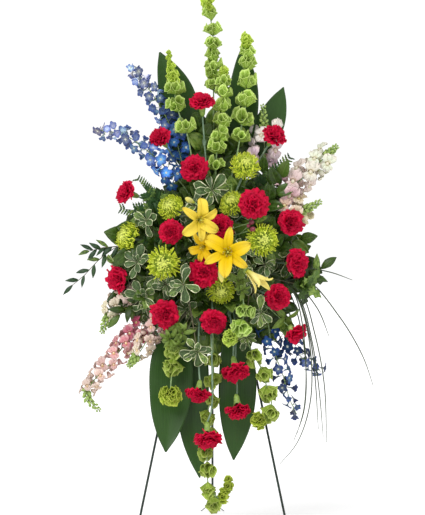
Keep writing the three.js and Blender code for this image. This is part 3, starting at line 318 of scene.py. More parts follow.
def along_path(path, shares):
    """Places and directions at shares of a path's length."""
    fine = smooth_path(path, 200)
    ahead = unit(np.gradient(fine, axis=0))
    at = np.asarray(shares, float) * 199
    ticks = np.arange(200)
    return between(at, ticks, fine), unit(between(at, ticks, ahead))


def frames(ahead, face):
    """Turns whose X runs ahead and whose Z is as near the face direction as it can be."""
    x = unit(ahead)
    y = unit(np.cross(np.broadcast_to(face, x.shape), x))
    return np.stack([x, y, np.cross(x, y)], -1)


def turn_to(direction, roll=0.0):
    """The turn that brings +Z to a direction, after a roll about it, as in the part's source."""
    turn = Vector((0, 0, 1)).rotation_difference(Vector(direction).normalized())
    return (turn @ Quaternion((0, 0, 1), roll)).to_matrix()


def placed(place, turn, size):
    return Matrix.Translation(Vector(place)) @ turn.to_4x4() @ Matrix.Scale(size, 4)


def rooted(root, points):
    """A line from the place where its kind stands in the foam, and on through the points."""
    return np.vstack([in_foam(ROOT[root]), *points])


# Meshes as arrays


class Part:
    """A mesh in millimetres, with values kept at its corners and one material."""

    def __init__(self, points, loops, sizes, values, flat, material=None):
        self.points = np.asarray(points, float)
        self.loops = np.asarray(loops, np.int32)
        self.sizes = np.asarray(sizes, np.int32)
        self.values = values
        self.flat = flat
        self.material = material

    def moved(self, matrix):
        turn = np.array(matrix.to_3x3())
        points = self.points @ turn.T + np.array(matrix.translation)
        return Part(points, self.loops, self.sizes, self.values, self.flat, self.material)

    def worn(self, wear, tint=0.5, paint=(1, 1, 1)):
        """The same shape in a finish, with one tint and paint."""
        count = len(self.points)
        paints = np.tile(np.array(paint, float), (count, 1))
        values = dict(self.values, tint=np.full(count, tint), paint=paints)
        return Part(self.points, self.loops, self.sizes, values, self.flat, FINISHES[wear])


def joined(parts):
    """Several parts of one material as one."""
    starts = np.cumsum([0] + [len(part.points) for part in parts[:-1]])
    return Part(
        np.concatenate([part.points for part in parts]),
        np.concatenate([part.loops + start for part, start in zip(parts, starts)]),
        np.concatenate([part.sizes for part in parts]),
        {key: np.concatenate([part.values[key] for part in parts]) for key in parts[0].values},
        np.concatenate([part.flat for part in parts]),
        parts[0].material,
    )


def quads_part(points, quads, triangles, values, flat):
    loops = np.r_[np.ravel(quads), np.ravel(triangles)]
    return Part(points, loops, np.repeat([4, 3], [len(quads), len(triangles)]), values, flat)


def shell(points, thick, along, across, wrap=False):
    """A thin closed solid about a grid of points; wrapped, its last column meets its first."""
    rows, columns = points.shape[:2]
    down = np.gradient(points, axis=0)
    side = np.roll(points, -1, 1) - np.roll(points, 1, 1) if wrap else np.gradient(points, axis=1)
    offset = unit(np.cross(down, side)) * (np.broadcast_to(thick, (rows, columns))[..., None] / 2)
    index = np.arange(rows * columns).reshape(rows, columns)
    if wrap:
        index = np.c_[index, index[:, :1]]
    corners = [index[:-1, :-1], index[1:, :-1], index[1:, 1:], index[:-1, 1:]]
    upper = np.stack(corners, -1).reshape(-1, 4)
    if wrap:
        edges = [index[-1], index[0, ::-1]]
    else:
        loop = [index[:-1, 0], index[-1, :-1], index[:0:-1, -1], index[0, :0:-1], index[:1, 0]]
        edges = [np.concatenate(loop)]
    count = rows * columns
    rims = [np.stack([e[:-1] + count, e[1:] + count, e[1:], e[:-1]], -1) for e in edges]
    quads = np.concatenate([upper, upper[:, ::-1] + count, *rims])
    flat = np.arange(len(quads)) >= 2 * len(upper)
    values = {
        "along": np.tile(np.ravel(along), 2),
        "across": np.tile(np.ravel(across), 2),
        "under": np.repeat([0.0, 1.0], count),
    }
    both = np.concatenate([(points + offset).reshape(-1, 3), (points - offset).reshape(-1, 3)])
    return quads_part(both, quads, np.empty((0, 3)), values, flat)


def solid_rings(rings, first, last):
    """A closed solid through rings of points, run to a point at each end."""
    count, sides = rings.shape[:2]
    index = np.arange(count * sides).reshape(count, sides)
    index = np.c_[index, index[:, :1]]
    corners = [index[:-1, :-1], index[:-1, 1:], index[1:, 1:], index[1:, :-1]]
    quads = np.stack(corners, -1).reshape(-1, 4)
    start, end = count * sides, count * sides + 1
    ends = [
        np.stack([np.full(sides, start), index[0, 1:], index[0, :-1]], -1),
        np.stack([np.full(sides, end), index[-1, :-1], index[-1, 1:]], -1),
    ]
    along = np.r_[np.repeat(np.linspace(0, 1, count), sides), 0, 1]
    values = {"along": along, "across": np.zeros(len(along)), "under": np.zeros(len(along))}
    points = np.vstack([rings.reshape(-1, 3), first, last])
    triangles = np.concatenate(ends)
    return quads_part(points, quads, triangles, values, np.zeros(len(quads) + len(triangles), bool))


def spine(angles, length, shares):
    """Places and slopes on a line that bends in the XZ plane, from its angles in degrees at even steps."""
    fine = np.linspace(0, 1.15, 70)
    angle = np.radians(np.interp(fine, np.linspace(0, 1, len(angles)), angles))
    step = length * fine[1]
    middle = (angle[1:] + angle[:-1]) / 2
    x = np.r_[0, np.cumsum(np.cos(middle))] * step
    z = np.r_[0, np.cumsum(np.sin(middle))] * step
    return np.interp(shares, fine, x), np.interp(shares, fine, z), np.interp(shares, fine, angle)


def blade(across, along, outline, angles, length, half, thick, cup=0.0, ruffle=0.0, waves=2.0,
          phase=0.0, rounded=0.0, teeth=0.0, wave_power=1.5, keel=0.0, frill=0.0):
    """A leaf or petal along +X with its face up: an outline of [shares, half widths] on a bent spine.

    The edges lift by the cup, the ruffle waves the sheet across and the frill its edges lengthwise, and
    teeth cut the tip in and out column by column.
    """
    v, u = np.meshgrid(np.linspace(0, 1, along + 1), np.linspace(-1, 1, across + 1), indexing="ij")
    cut = teeth * ((np.arange(across + 1) % 2) - 0.5)[None, :]
    x, z, angle = spine(angles, length, v * (1 - rounded * u**2 + cut))
    wide = half * np.interp(v, *outline)
    lift = cup * wide * u**2 - keel * wide * (1 - np.abs(u)) ** 2
    lift = lift + ruffle * length * v**wave_power * np.sin(waves * np.pi * u + phase)
    lift = lift + frill * half * np.abs(u) ** 3 * np.sin(np.pi * v) * np.sin(15 * v + 2 * phase + np.sign(u))
    points = np.stack([x - np.sin(angle) * lift, u * wide, z + np.cos(angle) * lift], -1)
    return shell(points, thick * np.interp(v, [0, 0.7, 1], [1, 0.85, 0.5]), v, u)


def lathe(profile, sides, thick, lobes=0, lobe=0.0, lean=0.0):
    """A thin closed shell round +X through a profile of (x, radius), with a lobed rim."""
    x, radius = np.array(profile, float).T
    v, angle = np.meshgrid(np.linspace(0, 1, len(x)), 2 * np.pi * np.arange(sides) / sides, indexing="ij")
    swell = 1 + lobe * v**2 * np.cos(lobes * angle)
    r = radius[:, None] * swell
    reach = x[:, None] * (1 + lean * v**2 * np.sin(angle) + 0.5 * lobe * v**3 * np.cos(lobes * angle))
    points = np.stack([reach, r * np.cos(angle), r * np.sin(angle)], -1)
    return shell(points, thick, v, angle / np.pi - 1, wrap=True)


def pod(length, radius, sides, profile=(0.45, 0.85, 1.0, 0.8, 0.4)):
    """A closed bud or bead along +X."""
    angle = 2 * np.pi * np.arange(sides) / sides
    steps = len(profile)
    x = length * (np.arange(steps) + 0.5) / steps
    r = radius * np.array(profile)[:, None]
    rings = np.stack([np.repeat(x[:, None], sides, 1), r * np.cos(angle), r * np.sin(angle)], -1)
    return solid_rings(rings, (0, 0, 0), (length, 0, 0))


def bent_rod(angles, length, radii, sides, steps):
    """A closed rod that bends in the XZ plane."""
    shares = np.linspace(0, 1, steps)
    x, z, slope = spine(angles, length, shares)
    r = np.interp(shares, np.linspace(0, 1, len(radii)), radii)[:, None]
    angle = 2 * np.pi * np.arange(sides) / sides
    rise = r * np.sin(angle)
    rings = np.stack([
        x[:, None] - np.sin(slope)[:, None] * rise,
        r * np.cos(angle),
        z[:, None] + np.cos(slope)[:, None] * rise,
    ], -1)
    return solid_rings(rings, (x[0], 0, z[0]), (x[-1], 0, z[-1]))


def turned(part, yaw=0.0, pitch=0.0, roll=0.0, at=(0, 0, 0)):
    """A part turned by degrees about its own X, then Y, then Z, and set in place."""
    turn = Matrix.Rotation(math.radians(yaw), 3, "Z")
    turn = turn @ Matrix.Rotation(math.radians(-pitch), 3, "Y") @ Matrix.Rotation(math.radians(roll), 3, "X")
    return part.moved(placed(at, turn, 1))


# Between arrays and Blender


def put(mesh, name, values):
    """Values kept at a mesh's points: whole numbers, numbers or vectors."""
    if values.dtype.kind == "i":
        kind, field, values = "INT", "value", values.astype(np.int32)
    else:
        kind, field = ("FLOAT", "value") if values.ndim == 1 else ("FLOAT_VECTOR", "vector")
        values = values.astype(np.float32)
    mesh.attributes.new(name, kind, "POINT").data.foreach_set(field, values.ravel())


def write_mesh(name, parts):
    """One mesh from parts, each with its material, with the values as point attributes."""
    whole = joined(parts)
    mesh = bpy.data.meshes.new(name)
    mesh.vertices.add(len(whole.points))
    mesh.vertices.foreach_set("co", whole.points.astype(np.float32).ravel())
    mesh.loops.add(len(whole.loops))
    mesh.loops.foreach_set("vertex_index", whole.loops)
    mesh.polygons.add(len(whole.sizes))
    starts = np.r_[0, np.cumsum(whole.sizes)[:-1]].astype(np.int32)
    mesh.polygons.foreach_set("loop_start", starts)
    materials = list(dict.fromkeys(part.material for part in parts if part.material))
    for material in materials:
        mesh.materials.append(material)
    if materials:
        slots = [np.full(len(part.sizes), materials.index(part.material)) for part in parts]
        mesh.polygons.foreach_set("material_index", np.concatenate(slots).astype(np.int32))
    mesh.polygons.foreach_set("use_smooth", ~whole.flat)
    mesh.update(calc_edges=True)
    for key, value in whole.values.items():
        put(mesh, key, value)
    return mesh


def fetched(items, field, kind, wide=1):
    """One field of all the items of a mesh, as an array."""
    values = np.empty(len(items) * wide, kind)
    items.foreach_get(field, values)
    return values.reshape(-1, wide) if wide > 1 else values


def read_part(mesh, material):
    """The arrays of a finished mesh."""
    points = fetched(mesh.vertices, "co", np.float32, 3)
    values = {key: np.zeros(len(points), np.float32) for key in ("along", "across", "under", "tint")}
    values["paint"] = np.ones((len(points), 3), np.float32)
    for key in values:
        if key in mesh.attributes:
            field, wide = ("vector", 3) if key == "paint" else ("value", 1)
            values[key] = fetched(mesh.attributes[key].data, field, np.float32, wide)
    loops = fetched(mesh.loops, "vertex_index", np.int32)
    sizes = fetched(mesh.polygons, "loop_total", np.int32)
    flat = ~fetched(mesh.polygons, "use_smooth", bool)
    return Part(points, loops, sizes, values, flat, material)


def add_object(name, data):
    made = bpy.data.objects.new(name, data)
    bpy.context.scene.collection.objects.link(made)
    return made


def piece(name, parts, *replaced, body="spray"):
    """A finished object at the origin, riding on its body in place of the CAD nodes it stands for."""
    mesh = write_mesh(name, parts)
    mesh.transform(Matrix.Translation(Vector(SHIFT)) @ Matrix.Scale(MM, 4))
    made = add_object(name, mesh)
    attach(made, body)
    if replaced:
        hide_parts(*replaced)


class Value:
    """A node's output, with the node's other outputs by name; its arithmetic adds math nodes."""

    def __init__(self, nodes, socket):
        self.nodes = nodes
        self.socket = socket

    def __getitem__(self, name):
        return Value(self.nodes, self.socket.node.outputs[name])

    def __add__(self, other):
        return self.nodes.math("ADD", self, other)

    def __sub__(self, other):
        return self.nodes.math("SUBTRACT", self, other)

    def __rsub__(self, other):
        return self.nodes.math("SUBTRACT", other, self)

    def __mul__(self, other):
        return self.nodes.math("MULTIPLY", self, other)


class Nodes:
    """Short calls that add and link the nodes of one tree."""

    def __init__(self, tree):
        self.tree = tree

    def add(self, kind, inputs=None, output=0, **settings):
        node = self.tree.nodes.new(kind)
        for key, value in settings.items():
            setattr(node, key, value)
        for key, value in (inputs or {}).items():
            self.feed(node.inputs[key], value)
        return Value(self, node.outputs[output])

    def feed(self, socket, value):
        if isinstance(value, Value):
            self.tree.links.new(value.socket, socket)
        else:
            socket.default_value = value

    def end(self, **values):
        """The tree, with its outputs fed."""
        sockets = self.tree.nodes.new("NodeGroupOutput").inputs
        for name, value in values.items():
            self.feed(sockets[name], value)
        return self.tree

    def math(self, operation, *values):
        return self.add("ShaderNodeMath", dict(enumerate(values)), operation=operation)

    def vector(self, *values):
        return self.add("ShaderNodeCombineXYZ", dict(enumerate(values)))

    def mix(self, factor, a, b, blend="MIX"):
        return self.add("ShaderNodeMix", {0: factor, 6: a, 7: b}, 2, data_type="RGBA", blend_type=blend)

    def shaded(self, colour, level):
        return self.mix(1.0, colour, self.vector(level, level, level), "MULTIPLY")

    def smoothstep(self, value, low, high, start=0.0, end=1.0):
        values = {0: value, 1: low, 2: high, 3: start, 4: end}
        return self.add("ShaderNodeMapRange", values, interpolation_type="SMOOTHSTEP")

    def noise(self, place, scale, detail):
        return self.add("ShaderNodeTexNoise", {"Vector": place, "Scale": scale, "Detail": detail})

    def values(self, *names, output="Fac"):
        return [self.add("ShaderNodeAttribute", None, output, attribute_name=name) for name in names]

    def group(self, name, **values):
        values = {key.replace("_", " "): value for key, value in values.items()}
        return self.add("ShaderNodeGroup", values, node_tree=GROUPS[name])

    def named(self, name, kind):
        return self.add("GeometryNodeInputNamedAttribute", {"Name": name}, data_type=kind)

    def store(self, geometry, name, value):
        values = {"Geometry": geometry, "Name": name, "Value": value}
        return self.add("GeometryNodeStoreNamedAttribute", values, data_type="FLOAT", domain="POINT")


SOCKETS = {int: "Int", float: "Float", tuple: "Color"}
TONES = {"Color": "Color", "Height": "Float"}
WHITE = (1, 1, 1, 1)


def new_tree(name, inputs, outputs, kind="ShaderNodeTree"):
    """A node tree and its input node; an input is written as its default or its kind."""
    tree = bpy.data.node_groups.new(name, kind)
    for label, value in inputs.items():
        socket_type = SOCKETS.get(type(value), value)
        socket = tree.interface.new_socket(label, in_out="INPUT", socket_type="NodeSocket" + socket_type)
        if socket_type != value:
            socket.default_value = value
    for label, socket_type in outputs.items():
        tree.interface.new_socket(label, in_out="OUTPUT", socket_type="NodeSocket" + socket_type)
    nodes = Nodes(tree)
    return nodes, nodes.add("NodeGroupInput")


def geometry_tree(name, **inputs):
    inputs = {"Geometry": "Geometry", "Material": "Material", **inputs}
    return new_tree(name, inputs, {"Geometry": "Geometry"}, "GeometryNodeTree")


def finish_tree(nodes, geometry, given):
    real = nodes.add("GeometryNodeRealizeInstances", {0: geometry})
    values = {"Geometry": real, "Material": given["Material"]}
    return nodes.end(Geometry=nodes.add("GeometryNodeSetMaterial", values))


def finish_copies(nodes, points, pick, turn, size, given):
    """The given shapes on points, each with its choice of shape, its turn and its size."""
    shapes = nodes.add("GeometryNodeCollectionInfo", {
        "Collection": given["Shapes"], "Separate Children": True, "Reset Children": True})
    on_points = nodes.add("GeometryNodeInstanceOnPoints", {
        "Points": points, "Instance": shapes, "Pick Instance": True, "Instance Index": pick,
        "Rotation": turn, "Scale": size})
    return finish_tree(nodes, on_points, given)


def copies_tree():
    """Copies of a collection's shapes on points that carry their turn, size and choice."""
    nodes, given = geometry_tree("Copies on points", Shapes="Collection")
    turn, size = nodes.named("turn", "FLOAT_VECTOR"), nodes.named("size", "FLOAT_VECTOR")
    return finish_copies(nodes, given["Geometry"], nodes.named("pick", "INT"), turn, size, given)


def spiral_tree():
    """A flower head: petals in a spiral from its middle to its edge, a tier of shapes after another."""
    nodes, given = geometry_tree("Petals in a spiral", **{
        "Shapes": "Collection", "Count": 48, "Tiers": 4, "Variants": 3, "Disc radius": 0.1,
        "Foot height": -0.4, "Rim drop": 0.0, "Jitter": 0.1, "Seed": 1})

    def chance(low, high, salt, kind="FLOAT"):
        first, output = (2, 1) if kind == "FLOAT" else (4, 2)
        values = {first: low, first + 1: high, "Seed": given["Seed"] + salt}
        return nodes.add("FunctionNodeRandomValue", values, output, data_type=kind)

    index = nodes.add("GeometryNodeInputIndex")
    share = nodes.math("DIVIDE", index, given["Count"])
    angle = index * GOLDEN
    radius = nodes.math("SQRT", share) * given["Disc radius"]
    position = nodes.vector(radius * nodes.math("COSINE", angle), radius * nodes.math("SINE", angle),
                            given["Foot height"] - share * given["Rim drop"])
    line = nodes.add("GeometryNodeMeshLine", {"Count": given["Count"]})
    points = nodes.add("GeometryNodeSetPosition", {"Geometry": line, "Position": position})
    points = nodes.store(points, "tint", chance(0.0, 1.0, 11))
    swing = given["Jitter"] * -1.0
    turn = nodes.vector(chance(swing, given["Jitter"], 1), chance(swing, given["Jitter"], 2),
                        angle + chance(swing, given["Jitter"], 3))
    tier = nodes.math("FLOOR", share * given["Tiers"])
    pick = tier * given["Variants"] + chance(0, given["Variants"] - 1.0, 4, "INT")
    return finish_copies(nodes, points, pick, turn, chance(0.93, 1.07, 5), given)


def stem_tree():
    """Round stems along the lines of a mesh, as thick as the radius kept at each point."""
    nodes, given = geometry_tree("Stems along lines", Sides=8)
    curves = nodes.add("GeometryNodeMeshToCurve", {"Mesh": given["Geometry"]})
    curves = nodes.store(curves, "along", nodes.add("GeometryNodeSplineParameter")["Factor"])
    circle = nodes.add("GeometryNodeCurvePrimitiveCircle", {"Resolution": given["Sides"], "Radius": 1.0})
    tubes = nodes.add("GeometryNodeCurveToMesh", {
        "Curve": curves, "Profile Curve": circle, "Fill Caps": True,
        "Scale": nodes.named("thickness", "FLOAT")})
    return finish_tree(nodes, tubes, given)


TREES = {}
GROUPS = {}
FINISHES = {}


def grown(carrier, tree, wear, **inputs):
    """What a tree makes on a carrier mesh, as a part in a finish; modifier and carrier are removed."""
    holder = add_object("carrier", carrier)
    modifier = holder.modifiers.new("Grow", "NODES")
    modifier.node_group = TREES[tree]
    inputs = {key.replace("_", " "): value for key, value in inputs.items()}
    inputs["Material"] = FINISHES[wear]
    for item in TREES[tree].interface.items_tree:
        if item.item_type == "SOCKET" and item.in_out == "INPUT" and item.name in inputs:
            modifier[item.identifier] = inputs[item.name]
    graph = bpy.context.evaluated_depsgraph_get()
    mesh = bpy.data.meshes.new_from_object(holder.evaluated_get(graph), depsgraph=graph)
    part = read_part(mesh, FINISHES[wear])
    holder.modifiers.remove(modifier)
    bpy.data.objects.remove(holder)
    bpy.data.meshes.remove(mesh)
    bpy.data.meshes.remove(carrier)
    return part


def grown_copies(carrier, tree, wear, shapes, **inputs):
    """What a tree makes of some shapes, which stand in a collection for that time alone."""
    shelf = bpy.data.collections.new("shapes")
    for i, part in enumerate(shapes):
        shelf.objects.link(bpy.data.objects.new(f"shapes_{i:03d}", write_mesh("shapes", [part])))
    made = grown(carrier, tree, wear, Shapes=shelf, **inputs)
    for thing in list(shelf.objects):
        mesh = thing.data
        bpy.data.objects.remove(thing)
        bpy.data.meshes.remove(mesh)
    bpy.data.collections.remove(shelf)
    return made


def copies(shapes, places, turns, sizes, wear, picks=None, tints=None, paints=None):
    """Copies of shapes at places, as one part: turns are 3 by 3, and sizes one number each."""
    order = np.arange(len(places))
    carrier = bpy.data.meshes.new("points")
    carrier.from_pydata(np.asarray(places, float).tolist(), [], [])
    put(carrier, "turn", np.array([Matrix(turn.tolist()).to_euler() for turn in turns]))
    put(carrier, "size", np.tile(np.asarray(sizes, float)[:, None], (1, 3)))
    put(carrier, "paint", np.ones((len(places), 3)) if paints is None else paints)
    put(carrier, "tint", np.modf(order * 0.618)[0] if tints is None else tints)
    put(carrier, "pick", order % len(shapes) if picks is None else picks)
    return grown_copies(carrier, "copies", wear, shapes)


def stems(lines, wear, sides=8):
    """Round stems as one part; a line is its points and its thickness, or the thickness at both ends."""
    points, radii, edges, start = [], [], [], 0
    for path, thickness in lines:
        count = len(path)
        points.append(path)
        radii.append(np.interp(np.linspace(0, 1, count), np.linspace(0, 1, np.size(thickness)),
                               np.atleast_1d(thickness)))
        edges += [(start + i, start + i + 1) for i in range(count - 1)]
        start += count
    carrier = bpy.data.meshes.new("lines")
    carrier.from_pydata(np.concatenate(points).tolist(), edges, [])
    put(carrier, "thickness", np.concatenate(radii))
    put(carrier, "tint", np.full(start, 0.5))
    return grown(carrier, "stems", wear, Sides=sides)


# Finishes


def linear(text):
    """A colour written as red, green and blue in hexadecimal, as linear values."""
    values = [int(text[i:i + 2], 16) / 255 for i in (1, 3, 5)]
    return tuple(v / 12.92 if v <= 0.04045 else ((v + 0.055) / 1.055) ** 2.4 for v in values)


def mottle_group():
    """Slow light and dark patches in a piece, with fine grain over them."""
    nodes, given = new_tree("Mottle", {
        "Scale": 60.0, "Grain scale": 600.0, "Grain": 0.3}, {"Mask": "Float"})
    place = nodes.add("ShaderNodeTexCoord")["Object"]
    grain = nodes.noise(place, given["Grain scale"], 2.0)
    return nodes.end(Mask=nodes.noise(place, given["Scale"], 3.0) + (grain - 0.5) * given["Grain"])


def petal_group():
    """Petal colour: another tone at the claw, another at the rim, with fine streaks along it. On the
    carnation the dark claw is painted shade deep in the head and the pinker rim a painted highlight.
    """
    nodes, given = new_tree("Petal tones", {
        "Claw": WHITE, "Rim": WHITE, "Claw reach": 0.4, "Rim start": 0.8, "Rim amount": 0.5,
        "Streak count": 9.0, "Streak depth": 0.25, "Spread": 0.3}, TONES)
    along, across, tint, under = nodes.values("along", "across", "tint", "under")
    paint = nodes.values("paint", output="Color")[0]
    place = nodes.vector(across * given["Streak count"], along * 1.6, tint * 41.0)
    streak = nodes.noise(place, 1.0, 2.0)
    # On the carnation the claw tone is painted shade, darkening each petal's foot deep in the head, and the
    # rim tone is a painted highlight on the edges.
    claw = nodes.smoothstep(along, 0.0, given["Claw reach"], 1.0, 0.0)
    rim = nodes.smoothstep(along, given["Rim start"], 1.0) * given["Rim amount"]
    colour = nodes.mix(claw, paint, nodes.mix(1.0, paint, given["Claw"], "MULTIPLY"))
    colour = nodes.mix(rim, colour, given["Rim"])
    deep = (streak - 0.5) * given["Streak depth"]
    level = (tint - 0.5) * given["Spread"] + 1.0 + deep * 2.0 + under * 0.06
    return nodes.end(Color=nodes.shaded(colour, level), Height=streak)


def leaf_group():
    """Leaf colour: pale midrib and slanted side veins, a margin of another colour and a paler underside."""
    nodes, given = new_tree("Leaf tones", {
        "Blade": WHITE, "Patch": WHITE, "Young": WHITE, "Vein": WHITE, "Margin": WHITE, "Underside": WHITE,
        "Vein count": 7.0, "Vein amount": 0.5, "Margin width": 0.0, "Spread": 0.4}, TONES)
    along, across, tint, under = nodes.values("along", "across", "tint", "under")
    side = nodes.math("ABSOLUTE", across)
    rib = nodes.smoothstep(side, 0.02, 0.11, 1.0, 0.0)
    wave = nodes.math("SINE", (along - side * 0.22) * given["Vein count"] * 6.283)
    veins = nodes.math("MAXIMUM", rib, nodes.smoothstep(wave, 0.82, 1.0) * 0.6)
    cloud = nodes.noise(nodes.vector(across * 2.2, along * 4.0, tint * 53.0), 1.2, 3.0)
    tip = nodes.smoothstep(along, 0.8, 1.02)
    edge = nodes.math("MAXIMUM", side, tip) + (cloud - 0.5) * 0.55
    start = 1.0 - given["Margin width"]
    colour = nodes.mix(nodes.smoothstep(tint, 0.55, 1.0), given["Blade"], given["Young"])
    colour = nodes.mix(nodes.smoothstep(cloud, 0.42, 0.62), colour, given["Patch"])
    colour = nodes.mix(veins * given["Vein amount"], colour, given["Vein"])
    colour = nodes.mix(nodes.smoothstep(edge, start, start + 0.09), colour, given["Margin"])
    colour = nodes.mix(under * 0.75, colour, given["Underside"])
    level = (tint - 0.5) * given["Spread"] + 1.0
    return nodes.end(Color=nodes.shaded(colour, level), Height=1.0 - veins)


def parallel_group():
    """Fine parallel ribs from stalk to tip, as on a broad strap leaf."""
    nodes, given = new_tree("Parallel ribs", {"Dark": WHITE, "Light": WHITE, "Rib count": 21.0}, TONES)
    along, across, tint = nodes.values("along", "across", "tint")
    wave = nodes.math("SINE", across * given["Rib count"] * 3.1416)
    fine = wave * 0.16 + nodes.noise(nodes.vector(across * 16.0, along * 1.2, tint * 19.0), 1.0, 3.0)
    middle = nodes.smoothstep(nodes.math("ABSOLUTE", across), 0.0, 0.05, 0.5, 0.0)
    mask = nodes.smoothstep(fine, 0.3, 0.8) + middle
    return nodes.end(Color=nodes.mix(mask, given["Dark"], given["Light"]), Height=fine)


def net_group():
    """A net of raised pale veins over a thin shell, with painted shade darkening the throat inside and a
    pale rim that is partly the bell's own edge and partly a painted highlight.
    """
    nodes, given = new_tree("Net veins", {
        "Shell": WHITE, "Vein": WHITE, "Throat": WHITE, "Net scale": 5.0}, TONES)
    along, across, tint, under = nodes.values("along", "across", "tint", "under")
    turn, reach = across * 3.1416, along + 0.25
    place = nodes.vector(nodes.math("COSINE", turn) * reach, nodes.math("SINE", turn) * reach, tint * 7.0)
    cells = nodes.add("ShaderNodeTexVoronoi", {"Vector": place, "Scale": given["Net scale"]}, "Distance",
                      feature="DISTANCE_TO_EDGE")
    net = nodes.smoothstep(cells, 0.0, 0.09, 1.0, 0.0)
    ribs = nodes.smoothstep(nodes.math("COSINE", turn * 5.0), 0.9, 1.0)
    # The pale rim is partly the bell's own paler edge and partly a painted highlight.
    rim = nodes.smoothstep(along, 0.8, 1.0)
    lines = nodes.math("MAXIMUM", nodes.math("MAXIMUM", net * 0.8, ribs), rim * 0.9)
    # The throat tone is painted shade: the inside of each bell darkens towards its foot, where shade falls.
    throat = nodes.smoothstep(along, 0.15, 0.8, 1.0, 0.0) * (1.0 - under)
    colour = nodes.mix(lines, given["Shell"], given["Vein"])
    colour = nodes.mix(throat * 0.75, colour, given["Throat"])
    colour = nodes.mix(1.0, colour, nodes.values("paint", output="Color")[0], "MULTIPLY")
    return nodes.end(Color=nodes.shaded(colour, tint * 0.4 + 0.8), Height=lines)


def new_finish(name, bump, depth, settings, tones):
    """A material whose tones, a call, give its colour, roughness and relief from its nodes."""
    made = bpy.data.materials.new(name)
    made.use_nodes = True
    nodes = Nodes(made.node_tree)
    shader = made.node_tree.nodes["Principled BSDF"].inputs
    colour, rough, height = tones(nodes)
    nodes.feed(shader["Base Color"], colour)
    nodes.feed(shader["Roughness"], rough)
    relief = {"Strength": bump, "Distance": depth * MM, "Height": height}
    nodes.feed(shader["Normal"], nodes.add("ShaderNodeBump", relief))
    for key, value in settings.items():
        shader[key.replace("_", " ")].default_value = value
    FINISHES[name] = made


def finish(name, group, values, roughness, bump, depth, shine):
    """A material whose colour and relief come from a shared group, with its own values."""
    values = {key: (*value, 1.0) if np.size(value) == 3 else value for key, value in values.items()}

    def tones(nodes):
        source = nodes.group(group, **values)
        rough = nodes.smoothstep(nodes.group("mottle"), 0.3, 0.7, *roughness)
        return source["Color"], rough, source["Height"]

    new_finish(name, bump, depth, {"Specular_IOR_Level": shine}, tones)


def plain_finish(name, light, dark, roughness, scale=60.0, grain=0.3, grain_scale=600.0, bump=0.2,
                 depth=0.3, **settings):
    """A material of two close tones in patches, for wire, plastic, foam and bark."""

    def tones(nodes):
        height = nodes.group("mottle", Scale=scale, Grain=grain, Grain_scale=grain_scale)
        mask = nodes.smoothstep(height, 0.3, 0.7)
        colour = nodes.mix(mask, (*dark[:3], 1.0), (*light[:3], 1.0))
        return colour, nodes.smoothstep(mask, 0.0, 1.0, *roughness), height

    new_finish(name, bump, depth, settings, tones)


def scaled(colour, by):
    return tuple(min(1.0, c * by) for c in colour[:3])


PETALS = {
    # Name: claw, claw reach, rim start and amount, streaks and their depth, spread, roughness.
    # The carnation's dark claw is painted shade deep in the head; its rim tone is a painted highlight.
    "carnation": ((0.30, 0.18, 0.25), 0.85, 0.8, 0.35, 7, 0.16, 0.4, (0.5, 0.7)),
    "mum": ((0.42, 0.58, 0.22), 0.75, 0.5, 0.62, 2, 0.1, 0.3, (0.5, 0.65)),
    "lily": ((0.84, 0.98, 0.12), 0.55, 0.5, 0.5, 6, 0.1, 0.12, (0.38, 0.5)),
    "delphinium": ((3.4, 2.9, 1.7), 0.75, 0.5, 0.62, 5, 0.72, 0.9, (0.5, 0.65)),
    "snapdragon": ((0.8, 0.72, 0.5), 0.4, 0.5, 0.5, 4, 0.16, 0.3, (0.5, 0.65)),
}
LEAVES = {
    # Name: blade's colour; patch, vein and underside, as colours or shares of it; veins and their amount,
    # margin width, spread, roughness.
    "salal": ("dark_leaf", 1.7, (0.12, 0.20, 0.05), 2.6, 6, 0.4, 0.0, 0.9, (0.22, 0.4)),
    "pittosporum": ("pittosporum", 0.5, (0.22, 0.32, 0.16), 1.9, 5, 0.3, 0.19, 0.6, (0.3, 0.5)),
    "fern": ("fern", 0.6, 1.8, 1.5, 8, 0.3, 0.0, 0.5, (0.4, 0.6)),
    "ruscus": ("ruscus", 0.6, (0.12, 0.22, 0.08), 2.0, 3, 0.3, 0.0, 0.5, (0.3, 0.45)),
    "bright_leaf": ("bright_leaf", 0.6, 1.6, 1.4, 4, 0.4, 0.0, 0.4, (0.4, 0.55)),
    "grass": ("grass", 0.6, 1.5, 1.2, 2, 0.3, 0.0, 0.3, (0.4, 0.55)),
}
PLAIN = {
    # Name: light tone, dark tone, roughness, patches in a metre.
    "bloom_stem": ((0.22, 0.32, 0.20), (0.12, 0.20, 0.13), (0.5, 0.7), 90),
    "calyx": ((0.26, 0.38, 0.07), (0.14, 0.24, 0.04), (0.45, 0.6), 150),
    "bud": ((0.38, 0.50, 0.13), (0.18, 0.29, 0.06), (0.45, 0.6), 160),
    "pale_petal": ((0.80, 0.82, 0.74), (0.55, 0.58, 0.52), (0.5, 0.65), 200),
    "filament": ((0.62, 0.60, 0.12), (0.45, 0.45, 0.06), (0.5, 0.65), 300),
    "anther": ((0.42, 0.26, 0.03), (0.24, 0.13, 0.02), (0.7, 0.9), 500),
    "berry": ((0.32, 0.05, 0.09), (0.13, 0.02, 0.03), (0.4, 0.55), 180),
    "twig": ((0.14, 0.12, 0.06), (0.06, 0.06, 0.03), (0.6, 0.8), 140),
    "tie": ((0.75, 0.75, 0.70), (0.6, 0.6, 0.56), (0.4, 0.5), 80),
}


